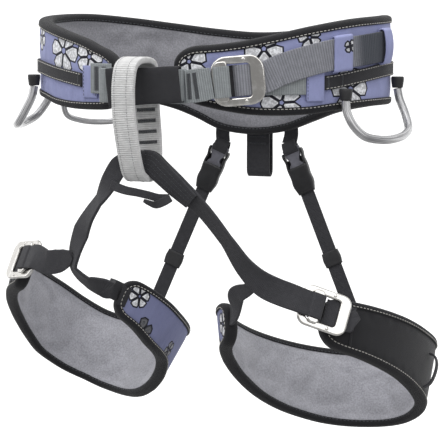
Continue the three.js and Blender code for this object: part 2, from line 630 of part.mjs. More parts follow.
  const bandMesh = add(harness, `riser_keeper_${word}`, hollowLoft(
    [6, -6].map((y) => socketSection(y, riserWidth + 4.4, riserThick + 3.4)),
    [6, -6].map((y) => socketSection(y, riserWidth + 1.6, riserThick + 1)),
  ), finish.blackWeb);
  bandMesh.quaternion.copy(plugMesh.quaternion);
  bandMesh.position.copy(bandAt);

  // slim tool loop on the outer thigh
  const out = shell + 1;
  const loopFoot = pad.bottom(118) + legBinding + 1.5;
  add(group, `tool_loop_${word}`, strap([[26, 0.3], [24.5, 4], [19, 7], [10, 7], [3, 4.5], [0, 0.3]]
    .map(([rise, lift]) => ({ at: hoop.at(118, loopFoot + rise, out + lift), width: 5, thick: 1.4,
      face: hoop.at(118, 0, 1).sub(hoop.at(118, 0, 0)) })), 12), finish.blackWeb);
}
buildLeg('right', legs.right);
buildLeg('left', legs.left);

export default harness;
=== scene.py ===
import math
import bpy
import numpy as np
from mathutils import Matrix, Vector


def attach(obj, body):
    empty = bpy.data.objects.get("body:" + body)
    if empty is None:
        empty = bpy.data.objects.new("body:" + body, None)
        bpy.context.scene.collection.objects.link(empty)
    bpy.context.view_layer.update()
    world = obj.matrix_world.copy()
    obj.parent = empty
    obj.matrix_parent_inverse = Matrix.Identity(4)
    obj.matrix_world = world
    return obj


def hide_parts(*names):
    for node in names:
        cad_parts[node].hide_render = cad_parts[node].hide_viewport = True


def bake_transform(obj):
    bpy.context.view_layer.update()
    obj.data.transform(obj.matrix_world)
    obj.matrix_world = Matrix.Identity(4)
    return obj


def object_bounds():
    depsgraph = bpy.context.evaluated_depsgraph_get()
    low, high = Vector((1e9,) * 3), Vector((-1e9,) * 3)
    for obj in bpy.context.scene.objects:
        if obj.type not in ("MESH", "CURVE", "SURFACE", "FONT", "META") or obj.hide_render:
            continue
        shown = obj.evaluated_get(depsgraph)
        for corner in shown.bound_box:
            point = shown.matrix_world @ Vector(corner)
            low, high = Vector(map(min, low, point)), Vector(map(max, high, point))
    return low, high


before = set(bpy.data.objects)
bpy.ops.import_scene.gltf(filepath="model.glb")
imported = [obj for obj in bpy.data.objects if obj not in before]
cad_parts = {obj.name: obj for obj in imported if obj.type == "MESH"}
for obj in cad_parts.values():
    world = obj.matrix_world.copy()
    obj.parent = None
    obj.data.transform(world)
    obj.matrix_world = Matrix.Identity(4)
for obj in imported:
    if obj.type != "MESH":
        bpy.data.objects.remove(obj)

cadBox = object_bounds()
mm = 0.001  # shapes below are worked out in millimetres and put into metres by putMesh
up = np.array([0.0, 0.0, 1.0])


# numbers and lines
def unit(a):
    return a / np.maximum(np.linalg.norm(a, axis=-1, keepdims=True), 1e-12)


def smoothStep(low, high, x):
    t = np.clip((x - low) / (high - low), 0, 1)
    return t * t * (3 - 2 * t)


# a cubic through [place, value] stations: the slope at each is the mean of its two chords
def profile(stations):
    x, y = np.array(stations, float).T
    chord = np.diff(y) / np.diff(x)
    slope = np.concatenate([chord[:1], (chord[1:] + chord[:-1]) / 2, chord[-1:]])

    def height(a):
        i = np.clip(np.searchsorted(x, a) - 1, 0, len(x) - 2)
        h = x[i + 1] - x[i]
        p = (np.asarray(a, float) - x[i]) / h
        return ((2 * p**3 - 3 * p**2 + 1) * y[i] + (p**3 - 2 * p**2 + p) * h * slope[i]
                + (3 * p**2 - 2 * p**3) * y[i + 1] + (p**3 - p**2) * h * slope[i + 1])
    return height


# a curve through control points: cubic spans whose knots are spaced by the root of each chord's length
def smoothLine(points, count):
    p = np.array(points, float)
    p = np.vstack([2 * p[0] - p[1], p, 2 * p[-1] - p[-2]])
    knot = np.sqrt(np.linalg.norm(np.diff(p, axis=0), axis=1))
    place = np.linspace(0, len(points) - 1, count)
    i = np.minimum(place.astype(int), len(points) - 2)
    t = (place - i)[:, None]
    a, b, c, d = p[i], p[i + 1], p[i + 2], p[i + 3]
    k0, k1, k2 = (knot[i + k][:, None] for k in range(3))
    m1 = ((b - a) / k0 - (c - a) / (k0 + k1) + (c - b) / k1) * k1
    m2 = ((c - b) / k1 - (d - b) / (k1 + k2) + (d - c) / k2) * k1
    return ((2 * t**3 - 3 * t**2 + 1) * b + (t**3 - 2 * t**2 + t) * m1
            + (3 * t**2 - 2 * t**3) * c + (t**3 - t**2) * m2)


# distance walked along a line of points
def walked(line):
    return np.concatenate([[0], np.cumsum(np.linalg.norm(np.diff(line, axis=0), axis=1))])


# the same line with its points an equal walk apart; more columns ride along
def evenly(line, count, width=3):
    far = walked(line[:, :width])
    even = np.linspace(0, far[-1], count)
    return np.stack([np.interp(even, far, column) for column in line.T], axis=1)


# meshes
def putMesh(name, points, faces, uv=None, smooth=True):
    mesh = bpy.data.meshes.new(name)
    mesh.from_pydata((np.asarray(points).reshape(-1, 3) * mm).tolist(), [], faces)
    if uv is not None:
        flat = np.asarray(uv, float).reshape(-1, 2)
        corner = np.zeros(len(mesh.loops), np.int32)
        mesh.loops.foreach_get("vertex_index", corner)
        mesh.uv_layers.new(name="cloth").data.foreach_set("uv", flat[corner].ravel())
    mesh.polygons.foreach_set("use_smooth", np.full(len(mesh.polygons), smooth))
    mesh.validate()
    piece = bpy.data.objects.new(name, mesh)
    bpy.context.scene.collection.objects.link(piece)
    return piece


# four-cornered faces of a grid of points, which may close on itself either way
def gridFaces(rows, columns, closeRows=False, closeColumns=False, start=0):
    r = np.arange(rows if closeRows else rows - 1)[:, None]
    c = np.arange(columns if closeColumns else columns - 1)[None, :]
    r2, c2 = (r + 1) % rows, (c + 1) % columns
    quads = np.stack([r * columns + c, r * columns + c2, r2 * columns + c2, r2 * columns + c], axis=-1)
    return (quads.reshape(-1, 4) + start).tolist()


# turns every face outward, by the sign of the volume that the faces enclose
def faceOut(piece):
    mesh = piece.data
    mesh.calc_loop_triangles()
    co = np.zeros(len(mesh.vertices) * 3)
    mesh.vertices.foreach_get("co", co)
    tri = np.zeros(len(mesh.loop_triangles) * 3, np.int32)
    mesh.loop_triangles.foreach_get("vertices", tri)
    a, b, c = np.moveaxis(co.reshape(-1, 3)[tri.reshape(-1, 3)], 1, 0)
    if np.einsum("ij,ij->i", a, np.cross(b, c)).sum() < 0:
        mesh.flip_normals()
    return piece


# a section carried along a path: sections[k, j] are points, closed round j, capped or joined end to end
def sweep(name, sections, ring=False, uv=None, hollow=False):
    rows, columns = sections.shape[:2]
    faces = gridFaces(rows, columns, ring, True)
    if not ring and not hollow:
        faces += [list(range(columns))[::-1], list(range((rows - 1) * columns, rows * columns))]
    return faceOut(putMesh(name, sections, faces, uv))


# a rounded bar's section: a box of half sizes a and b whose corners are quarter circles of radius r
def roundBox(a, b, r, steps=4):
    turn = np.radians(np.linspace(0, 90, steps))
    corners = []
    for k, (sx, sy) in enumerate([(1, 1), (-1, 1), (-1, -1), (1, -1)]):
        t = turn + k * math.pi / 2
        corners.append(np.stack([sx * (a - r) + r * np.cos(t), sy * (b - r) + r * np.sin(t)], axis=1))
    return np.vstack(corners)


# webbing along a line: across = face x along, through = along x across; the flat faces swell in ribs
def webbing(name, line, face, width, thick, ribPitch=0, ribHeight=0.0, edge=0.6, across=9, ring=False):
    along = np.roll(line, -1, 0) - np.roll(line, 1, 0) if ring else np.gradient(line, axis=0)
    along = unit(along)
    side = unit(np.cross(face, along))
    through = np.cross(along, side)
    far = walked(line)
    rib = ribHeight * (np.abs(np.sin(math.pi * far / ribPitch)) ** 0.7 - 1) if ribPitch else 0 * far
    half = np.broadcast_to(width, far.shape) / 2
    deep = np.broadcast_to(thick, far.shape) / 2
    t = np.linspace(-1, 1, across)
    r = np.minimum(edge, deep)
    corner = np.radians([20, 45, 70])
    rows = []
    for sign in (1, -1):
        flat = np.stack([np.outer(half - r, sign * t), np.outer(sign * (deep + rib), np.ones(across))], -1)
        bend = np.stack([sign * ((half - r)[:, None] + np.outer(r, np.sin(corner[::1]))),
                         sign * ((deep - r)[:, None] + np.outer(r, np.cos(corner)) + rib[:, None])], -1)
        low = np.stack([sign * ((half - r)[:, None] + np.outer(r, np.sin(corner[::-1]))),
                        -sign * ((deep - r)[:, None] + np.outer(r, np.cos(corner[::-1])) + rib[:, None])], -1)
        rows += [flat, bend, low]
    section = np.concatenate(rows, axis=1)
    points = (line[:, None] + side[:, None] * section[..., :1] + through[:, None] * section[..., 1:])
    uv = np.stack([np.broadcast_to(far[:, None], section.shape[:2]), section[..., 0]], -1)
    return sweep(name, points, ring, uv)


# rotation matrices about X, Y and Z
def turned(axis, degrees):
    s, c = math.sin(math.radians(degrees)), math.cos(math.radians(degrees))
    i, j = [(1, 2), (2, 0), (0, 1)][axis]
    m = np.eye(3)
    m[i, i], m[j, j], m[i, j], m[j, i] = c, c, -s, s
    return m


# a strap's path through stations of place, facing, width, thickness and twist, at even distances
# twisted face = face cos(twist) + side sin(twist)
def strapRoute(stations, count):
    line = smoothLine([s[0] for s in stations], count * 3)
    share = np.linspace(0, len(stations) - 1, count * 3)
    rest = np.array([[*s[1], s[2], s[3], s[4] if len(s) > 4 else 0] for s in stations], float)
    extra = np.stack([np.interp(share, np.arange(len(stations)), column) for column in rest.T], 1)
    both = evenly(np.hstack([line, extra]), count)
    along = unit(np.gradient(both[:, :3], axis=0))
    side = unit(np.cross(both[:, 3:6], along))
    turn = np.radians(both[:, 8:9])
    face = np.cross(along, side) * np.cos(turn) + side * np.sin(turn)
    return both[:, :3], face, both[:, 6], both[:, 7]


# thread along both edges of a strap, a set distance in
def edgeStitches(name, line, face, width, thick, inset=1.6, **size):
    along = unit(np.gradient(line, axis=0))
    side = unit(np.cross(face, along))
    through = np.cross(along, side)
    through = through * np.sign(np.sum(through * face, 1))[:, None]
    rows = []
    for sign in (-1, 1):
        edge = line + side * (sign * (np.broadcast_to(width, len(line)) / 2 - inset))[:, None]
        edge = edge + through * (np.broadcast_to(thick, len(line)) / 2)[:, None]
        rows.append(stitches("row", edge, through, **size))
    return joinPieces(name, rows)


# a round tube along a line, its section turned as little as possible from one place to the next
def tube(name, line, radius, sides=20):
    along = unit(np.gradient(line, axis=0))
    side = np.cross(along, up)
    side = unit(np.where(np.linalg.norm(side, axis=1, keepdims=True) < 0.2, [[1.0, 0.0, 0.0]], side))
    for k in range(1, len(side)):
        side[k] = unit(side[k - 1] - along[k] * np.dot(side[k - 1], along[k]))
    other = np.cross(along, side)
    turn = np.linspace(0, 2 * math.pi, sides, endpoint=False)
    radius = np.broadcast_to(radius, len(line))[:, None, None]
    points = line[:, None] + radius * (side[:, None] * np.cos(turn)[:, None]
                                       + other[:, None] * np.sin(turn)[:, None])
    uv = np.stack(np.broadcast_arrays(walked(line)[:, None], np.degrees(turn)[None]), -1)
    return sweep(name, points, uv=uv)


# rows of thread: small capsules laid on a line, each lifted on the surface's normal and sunk at its ends
def stitches(name, line, face, pitch=3.0, length=2.1, radius=0.32, along=None):
    count = max(int(round(walked(line)[-1] / pitch)), 1)
    both = evenly(np.hstack([line, face] + ([along] if along is not None else [])), 2 * count + 1)[1::2]
    place, normal = both[:, :3], unit(both[:, 3:6])
    run = unit(both[:, 6:9]) if along is not None else unit(np.gradient(place, axis=0) if count > 1
                                                            else (line[-1:] - line[:1]))
    side = unit(np.cross(normal, run))
    s = np.array([-1, -0.78, 0, 0.78, 1]) * length / 2
    girth = np.array([0.25, 0.85, 1, 0.85, 0.25]) * radius
    turn = np.linspace(0, 2 * math.pi, 6, endpoint=False)
    x, y, z = (np.broadcast_to(a, (5, 6)).ravel() for a in (
        s[:, None], girth[:, None] * np.cos(turn), girth[:, None] * np.sin(turn)
        - radius * 0.6 * (np.abs(s[:, None]) / (length / 2)) ** 3))
    points = (place[:, None] + run[:, None] * x[:, None] + side[:, None] * y[:, None]
              + normal[:, None] * (z + radius * 0.35)[:, None])
    one = gridFaces(5, 6, closeColumns=True) + [[5, 4, 3, 2, 1, 0], [24, 25, 26, 27, 28, 29]]
    faces = [[v + 30 * k for v in face] for k in range(len(place)) for face in one]
    return faceOut(putMesh(name, points, faces))


def joinPieces(name, pieces):
    with bpy.context.temp_override(active_object=pieces[0], object=pieces[0], selected_objects=pieces,
                                   selected_editable_objects=pieces):
        bpy.ops.object.join()
    pieces[0].name = pieces[0].data.name = name
    return pieces[0]


# a flat slab: its outline is drawn in at the top and bottom by a quarter circle, so every edge is rounded
def slab(name, outline, thick, edge, place, hole=None, steps=4):
    turn = np.radians(np.linspace(0, 90, steps))
    inward = np.concatenate([edge * (1 - np.sin(turn)), edge * (1 - np.sin(turn[::-1]))])
    level = np.concatenate([-thick / 2 + edge * (1 - np.cos(turn)), thick / 2 - edge * (1 - np.cos(turn[::-1]))])

    def rings(line, sign):
        ahead = unit(np.roll(line, -1, 0) - np.roll(line, 1, 0))
        normal = np.stack([ahead[:, 1], -ahead[:, 0]], 1) * sign
        flat = line[None] - normal[None] * inward[:, None, None]
        return np.concatenate([flat, np.broadcast_to(level[:, None, None], flat.shape[:2] + (1,))], 2)
    if hole is None:
        local = rings(outline, 1)
        n = len(outline)
        faces = gridFaces(len(level), n, closeColumns=True) + [
            list(range(n))[::-1], list(range((len(level) - 1) * n, len(level) * n))]
    else:
        local = np.concatenate([rings(outline, 1), rings(hole, -1)[::-1]])
        faces = gridFaces(len(local), len(outline), True, True)
    piece = faceOut(putMesh(name, place(local.reshape(-1, 3)), faces))
    for polygon in piece.data.polygons:
        if len(polygon.vertices) > 4:
            polygon.use_smooth = False
    return piece


# shader sums
class Value:
    # wraps a socket, so that sums on it add Math nodes
    def __init__(self, recipe, socket):
        self.recipe, self.socket = recipe, socket

    def sum(self, operation, *others):
        return self.recipe.node("ShaderNodeMath", {"operation": operation}, *((self,) + others))

    def __add__(self, other): return self.sum("ADD", other)
    def __radd__(self, other): return self.sum("ADD", other)
    def __sub__(self, other): return self.sum("SUBTRACT", other)
    def __rsub__(self, other): return self.recipe.node("ShaderNodeMath", {"operation": "SUBTRACT"}, other, self)
    def __mul__(self, other): return self.sum("MULTIPLY", other)
    def __rmul__(self, other): return self.sum("MULTIPLY", other)
    def __truediv__(self, other): return self.sum("DIVIDE", other)
    def __pow__(self, other): return self.sum("POWER", other)
    def __neg__(self): return self.sum("MULTIPLY", -1.0)
    def abs(self): return self.sum("ABSOLUTE")
    def sin(self): return self.sum("SINE")
    def part(self): return self.sum("FRACT")
    def least(self, other): return self.sum("MINIMUM", other)
    def most(self, other): return self.sum("MAXIMUM", other)

    # 0 below one value, 1 above another, and smooth in between
    def step(self, low, high):
        return self.recipe.node("ShaderNodeMapRange", {"interpolation_type": "SMOOTHSTEP"}, self, low, high, 0.0, 1.0)


class Recipe:
    # one material: its shader and the nodes that feed it
    def __init__(self, name):
        self.material = bpy.data.materials.new(name)
        self.material.use_nodes = True
        self.tree = self.material.node_tree
        self.shader = self.tree.nodes["Principled BSDF"]

    def node(self, kind, settings=None, *values, out=0, **named):
        n = self.tree.nodes.new(kind)
        for key, value in (settings or {}).items():
            setattr(n, key, value)
        for key, value in list(enumerate(values)) + list(named.items()):
            self.feed(n.inputs[key], value)
        return Value(self, n.outputs[out])

    def feed(self, socket, value):
        if isinstance(value, Value):
            self.tree.links.new(value.socket, socket)
        elif value is not None:
            socket.default_value = value

    # the piece's own map in millimetres: along first, then across
    def cloth(self):
        xyz = self.node("ShaderNodeUVMap", {"uv_map": "cloth"})
        split = self.node("ShaderNodeSeparateXYZ", None, xyz)
        return split, Value(self, split.socket.node.outputs[1])

    def place(self):
        return self.node("ShaderNodeTexCoord", out="Object")

    def noise(self, where, scale, detail=3.0, rough=0.55):
        return self.node("ShaderNodeTexNoise", None, Vector=where, Scale=scale, Detail=detail, Roughness=rough)

    # colour a where the factor is 0, colour b where it is 1
    def mix(self, factor, a, b):
        n = self.tree.nodes.new("ShaderNodeMix")
        n.data_type = "RGBA"
        self.feed(n.inputs[0], factor)
        for socket, value in ((n.inputs[6], a), (n.inputs[7], b)):
            self.feed(socket, value if isinstance(value, Value) else (*value, 1.0))
        return Value(self, n.outputs[2])

    def finish(self, colour, rough, height=None, relief=0.0002, strength=1.0, **fixed):
        self.feed(self.shader.inputs["Base Color"], colour if isinstance(colour, Value) else (*colour, 1.0))
        self.feed(self.shader.inputs["Roughness"], rough)
        if height is not None:
            bump = self.node("ShaderNodeBump", None, Strength=strength, Distance=relief, Height=height)
            self.feed(self.shader.inputs["Normal"], bump)
        for key, value in fixed.items():
            self.shader.inputs[key.replace("_", " ")].default_value = value
        return self.material


def tone(colour, factor):
    return tuple(min(c * factor, 1.0) for c in colour)


# finishes
clothFinish = {
    "violet": (0.26, 0.28, 0.475), "lining": (0.37, 0.37, 0.405), "binding": (0.013, 0.013, 0.015),
    "blackWeb": (0.040, 0.040, 0.045), "greyWeb": (0.27, 0.29, 0.30), "tailWeb": (0.25, 0.255, 0.285),
    "darkTail": (0.060, 0.066, 0.080), "belayWeb": (0.60, 0.60, 0.60), "thread": (0.62, 0.60, 0.56),
    "darkThread": (0.055, 0.06, 0.07), "petal": (0.92, 0.93, 0.97), "ink": (0.012, 0.012, 0.02),
}


# webbing: ribs across at one pitch, yarns along at another, and a mottled shade over both
def webbingFinish(name, colour, ribPitch, yarnPitch=0.9, contrast=0.35, dark=None, relief=0.00025, rough=0.78):
    r = Recipe(name)
    u, v = r.cloth()
    rib = (u * (math.pi / ribPitch)).sin().abs()
    yarn = (v * (math.pi / yarnPitch) + (u * (math.pi / ribPitch)).sin() * 0.5).sin().abs()
    mottle = r.noise(r.place(), 260.0)
    shade = (1 - contrast) + rib ** 0.6 * contrast * 0.8 + yarn * contrast * 0.2
    worn = mottle.step(0.35, 0.75) * 0.22 + 0.86
    base = r.mix((shade * worn).least(1.0), tone(colour, 0.35), tone(colour, 1.15))
    if dark:   # the webbing darkens from one place along it to another
        base = r.mix(u.step(*dark[1]), base, r.mix(shade, tone(dark[0], 0.6), tone(dark[0], 1.2)))
    return r.finish(base, rough, rib ** 0.5 * 0.8 + yarn * 0.35 + mottle * 0.3, relief,
                    Sheen_Weight=0.08, Sheen_Roughness=0.5, Specular_IOR_Level=0.25)


# smooth tape or close-woven webbing: a fine twill that slants across the piece
def tapeFinish(name, colour, twill=0.8, contrast=0.3, rough=0.75, sheen=0.08):
    r = Recipe(name)
    u, v = r.cloth()
    slant = ((u + v) * (math.pi / twill)).sin().abs()
    cross = ((u - v) * (math.pi / (twill * 0.55))).sin().abs()
    mottle = r.noise(r.place(), 180.0, 4.0)
    shade = (slant * 0.6 + cross * 0.4) * contrast + (1 - contrast)
    base = r.mix((shade * (mottle * 0.5 + 0.75)).least(1.0), tone(colour, 0.45), tone(colour, 1.3))
    return r.finish(base, rough, slant * 0.6 + cross * 0.4 + mottle * 0.5, 0.00012,
                    Sheen_Weight=sheen, Sheen_Roughness=0.45, Specular_IOR_Level=0.25)


# a ring of petals: the angle folds into one petal, whose edge is the nearest of its sector's two rays,
# its half width, and its inner and outer ends; the value is the distance in from that edge
def bloom(r, u, v, x, y, turn, petals, inner, outer, width):
    du, dv = u - x, v - y
    far = (du * du + dv * dv) ** 0.5
    angle = r.node("ShaderNodeMath", {"operation": "ARCTAN2"}, dv, du)
    sector = 2 * math.pi / petals
    fold = ((angle - math.radians(turn)) / sector + 20.0).part() - 0.5
    along = far * (fold * sector).sum("COSINE")
    side = (far * (fold * sector).sin()).abs()
    ray = along * math.sin(sector / 2) - side * math.cos(sector / 2) - 0.75
    end = (outer - along - side * 0.35) * 0.94
    return ray.least(end).least(width / 2 - side).least(along - inner)


def violetFinish(name, blooms, depth=1.0):
    r = Recipe(name)
    u, v = r.cloth()
    weave = (u * (math.pi / 0.45)).sin().abs() * 0.5 + (v * (math.pi / 0.45)).sin().abs() * 0.5
    soft = r.noise(r.place(), 70.0, 4.0)
    fine = r.noise(r.place(), 900.0, 2.0)
    pucker = r.noise(r.node("ShaderNodeCombineXYZ", None, u * 0.16, v * 0.05, 0.0), 1.0, 3.0, 0.55)
    # the stretched pucker noise raises the bump and also shades the colour: painted shade of wrinkles, over the cloth's
    # own weave and mottling
    shade = soft.step(0.3, 0.75) * 0.2 + pucker.step(0.3, 0.7) * 0.16 + fine * 0.2 + weave * 0.12 + 0.42
    # depth scales the violet; the legs' copy below 1 is painted shade
    violet = tone(clothFinish["violet"], depth)
    base = r.mix(shade.least(1.0), tone(violet, 0.72), tone(violet, 1.22))
    petalTone = r.mix(r.noise(r.place(), 420.0, 2.0).step(0.42, 0.62), tone(clothFinish["petal"], 0.62),
                      clothFinish["petal"])
    for *flower, pale in blooms:
        edge = bloom(r, u, v, *flower)
        base = r.mix(edge.step(-1.0, -0.75), base, clothFinish["ink"])
        base = r.mix(edge.step(0.2, 0.42) * pale, base, petalTone)
        base = r.mix((edge.step(1.3, 1.5) - edge.step(1.65, 1.9)) * 0.4, base, tone(clothFinish["petal"], 0.45))
    return r.finish(base, 0.86, weave * 0.04 + fine * 0.03 + soft * 0.3 + pucker * 0.7, 0.0014,
                    Sheen_Weight=0.1, Sheen_Roughness=0.5, Specular_IOR_Level=0.3)


# depth scales the grey; the belt's copy below 1 is painted shade
def liningFinish(name, depth=1.0):
    r = Recipe(name)
    place = r.place()
    felt = r.noise(place, 800.0, 2.0, 0.7)
    cloud = r.noise(place, 55.0, 4.0)
    u, v = r.cloth()
    knit = (u * (math.pi / 1.1)).sin().abs() * (v * (math.pi / 1.1)).sin().abs()
    shade = felt.step(0.25, 0.75) * 0.5 + cloud.step(0.25, 0.8) * 0.1 + knit * 0.12 + 0.14
    grey = tone(clothFinish["lining"], depth)
    base = r.mix(shade.least(1.0), tone(grey, 0.62), tone(grey, 1.5))
    return r.finish(base, 0.95, felt * 0.7 + knit * 0.6 + cloud * 0.3, 0.00022,
                    Sheen_Weight=0.2, Sheen_Roughness=0.6, Specular_IOR_Level=0.2)


def metalFinish():
    r = Recipe("polishedAlloy")
    place = r.place()
    brushed = r.noise(r.node("ShaderNodeMapping", None, place, Scale=(60.0, 60.0, 2200.0)), 1.0, 3.0)
    rubbed = r.noise(place, 160.0, 4.0)
    swell = r.noise(place, 42.0, 1.0)
    base = r.mix(rubbed.step(0.4, 0.7), (0.60, 0.585, 0.56), (0.76, 0.75, 0.73))
    return r.finish(base, rubbed.step(0.35, 0.75) * 0.08 + brushed * 0.05 + 0.11,
                    brushed * 0.03 + rubbed * 0.05 + swell, 0.0012, Metallic=1.0)


def tubeFinish():
    r = Recipe("clearSleeve")
    u, v = r.cloth()
    streak = r.node("ShaderNodeCombineXYZ", None, u * 0.02, v * 0.045, 0.0)
    grain = r.noise(streak, 1.0, 3.0, 0.6)
    # the sleeve's colour is painted dark where its surface turns away from view: painted shade along the tube's outline
    rim = r.node("ShaderNodeLayerWeight", None, 0.35, out=1)
    base = r.mix(grain.step(0.38, 0.62), (0.20, 0.20, 0.21), (0.66, 0.66, 0.67))
    base = r.mix(rim.step(0.45, 0.85) * 0.75, base, (0.10, 0.10, 0.11))
    return r.finish(base, grain * 0.2 + 0.15, grain, 0.00012, Coat_Weight=0.8, Coat_Roughness=0.06, Metallic=0.3)


def plasticFinish(name, colour, rough=0.42):
    r = Recipe(name)
    place = r.place()
    grain = r.noise(place, 1500.0, 2.0)
    scuff = r.noise(place, 120.0, 4.0)
    base = r.mix(scuff.step(0.35, 0.75), tone(colour, 0.8), tone(colour, 1.25))
    return r.finish(base, scuff * 0.15 + rough - 0.08, grain, 0.00006)


def threadFinish(name, colour):
    r = Recipe(name)
    twist = r.node("ShaderNodeTexWave", {"bands_direction": "DIAGONAL"}, r.place(), Scale=900.0, Distortion=0.6)
    base = r.mix(twist * 0.6 + 0.2, tone(colour, 0.6), tone(colour, 1.1))
    return r.finish(base, 0.7, twist, 0.00008, Sheen_Weight=0.2)


def dress(piece, material, body, slot, *nodes):
    piece.data.materials.clear()
    piece.data.materials.append(material)
    if isinstance(body, tuple):   # two bodies and two places in mm, which are not used: the piece's transform is only baked
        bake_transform(piece)
    elif body:
        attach(piece, body)
    if nodes:
        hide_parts(*nodes)
    return piece


# hoops and padding
class Hoop:
    # place = ellipse point at an angle from the front + its normal x distance out; height narrows the ellipse
    def __init__(self, side, halfSide, halfFront, flare=0.0, turn=np.eye(3), centre=(0, 0, 0)):
        self.side, self.halfSide, self.halfFront, self.flare = side, halfSide, halfFront, flare
        self.turn, self.centre = turn, np.array(centre, float)
        self.degrees = np.linspace(0, 360, 1441)
        self.walk = walked(self.at(self.degrees, 0, 0))

    def at(self, angle, height, out):
        angle, height, out = np.broadcast_arrays(*(np.asarray(x, float) for x in (angle, height, out)))
        sin, cos = np.sin(np.radians(angle)), np.cos(np.radians(angle))
        normal = unit(np.stack([self.side * sin / self.halfSide, -cos / self.halfFront, 0 * sin], -1))
        narrow = self.flare * height
        flat = np.stack([self.side * (self.halfSide + narrow) * sin, -(self.halfFront + narrow) * cos, height], -1)
        return (flat + normal * out[..., None]) @ self.turn.T + self.centre

    def facing(self, angle):
        return self.at(angle, 0, 1) - self.at(angle, 0, 0)

    def far(self, angle):
        return np.interp(angle, self.degrees, self.walk)

    def angle(self, far):
        return np.interp(far, self.walk, self.degrees)


class Pad:
    # heights run between a lower and an upper profile, drawn together at the ends by a quarter ellipse
    def __init__(self, hoop, start, end, nose, top, bottom):
        self.hoop, self.start, self.end, self.nose = hoop, hoop.far(start), hoop.far(end), nose
        self.top, self.bottom = profile(top), profile(bottom)

    def edges(self, far, inset=0.0):
        near = np.minimum(far - self.start, self.end - far) - inset
        share = np.clip(near / (self.nose - inset), 0, 1)
        swell = 0.3 + 0.7 * np.sqrt(1 - (1 - share) ** 2)
        angle = self.hoop.angle(far)
        top, bottom = self.top(angle), self.bottom(angle)
        middle, half = (top + bottom) / 2, (top - bottom) / 2 - inset
        return middle - half * swell, middle + half * swell

    # distances along the pad, closer together round its ends
    def stations(self, inset, step, start=None, end=None):
        ease = 1 - np.cos(np.radians(np.linspace(0, 90, 9)))[:-1]
        a, b = self.start + inset, self.end - inset
        round_ = self.nose - inset
        middle = np.linspace(a + round_, b - round_, int((b - a - 2 * round_) / step))
        far = np.concatenate([a + 0.02 + ease * round_, middle, b - 0.02 - ease[::-1] * round_])
        if start is not None:
            far = np.concatenate([[start], far[(far > start + 0.4) & (far < end - 0.4)], [end]])
        return far

    # the rim as points [along, height], evenly spaced and rounded by averaging, with its inward normals
    def rim(self, step):
        far = self.stations(0, 1.0)
        low, high = self.edges(far)
        line = np.vstack([np.stack([far, low], 1), np.stack([far, high], 1)[::-1]])
        line = np.vstack([line, line[:1]])
        count = int(walked(line)[-1] / step)
        loop = evenly(line, count + 1, 2)[:-1]
        for _ in range(int(6 / step)):
            loop = loop * 0.5 + (np.roll(loop, 1, 0) + np.roll(loop, -1, 0)) * 0.25
        ahead = unit(np.roll(loop, -1, 0) - np.roll(loop, 1, 0))
        return loop, np.stack([-ahead[:, 1], ahead[:, 0]], 1)


# padding's skin: a grid from edge to edge at one distance out, crowned by 1 - t^4, closed by a flat back
def padSkin(name, pad, inset, face, back, crown, columns=17, step=4.0, start=None, end=None):
    far = pad.stations(inset, step, start, end)
    low, high = pad.edges(far, inset)
    t = np.linspace(-1, 1, columns)
    height = (low + high)[:, None] / 2 + (high - low)[:, None] / 2 * t
    angle = pad.hoop.angle(far)[:, None]
    swell = crown * (1 - t[None] ** 4) * np.ones_like(height)
    front = pad.hoop.at(angle, height, face + swell)
    rear = pad.hoop.at(angle, height, back)[:, ::-1]
    uv = np.stack(np.broadcast_arrays(far[:, None], np.concatenate([height, height[:, ::-1]], 1)), -1)
    piece = sweep(name, np.concatenate([front, rear], 1), uv=uv)
    return piece, far, height


# cloth under pressure: the skin swells between its pinned seams, and no point moves more than the cap
def puff(piece, pinned, cap, pressure=4.0, spare=0.03, stiff=12.0):
    group = piece.vertex_groups.new(name="sewn")
    group.add([int(k) for k in np.flatnonzero(pinned)], 1.0, "REPLACE")
    rest = np.zeros(len(piece.data.vertices) * 3)
    piece.data.vertices.foreach_get("co", rest)
    cloth = piece.modifiers.new("cloth", "CLOTH")
    s = cloth.settings
    s.quality, s.mass, s.vertex_group_mass = 6, 0.15, "sewn"
    s.tension_stiffness = s.compression_stiffness = stiff
    s.shear_stiffness, s.bending_stiffness = 4.0, 0.4
    s.use_pressure, s.uniform_pressure_force, s.shrink_min = True, pressure, -spare
    s.effector_weights.gravity = 0.0
    cloth.collision_settings.use_collision = cloth.collision_settings.use_self_collision = False
    cloth.point_cache.frame_start, cloth.point_cache.frame_end = 1, 20
    for number in range(1, 21):
        bpy.context.scene.frame_set(number)
    shown = piece.evaluated_get(bpy.context.evaluated_depsgraph_get())
    moved = np.zeros_like(rest)
    shown.data.vertices.foreach_get("co", moved)
    shift = (moved - rest).reshape(-1, 3)
    size = np.linalg.norm(shift, axis=1, keepdims=True)
    shift *= np.tanh(size / (cap * mm)) * cap * mm / np.maximum(size, 1e-9)
    piece.modifiers.remove(cloth)
    piece.vertex_groups.clear()
    piece.data.vertices.foreach_set("co", (rest.reshape(-1, 3) + shift).ravel())
    piece.data.update()
    bpy.context.scene.frame_set(1)


def smoother(piece, levels=1):
    m = piece.modifiers.new("finer", "SUBSURF")
    m.levels = m.render_levels = levels
    return piece


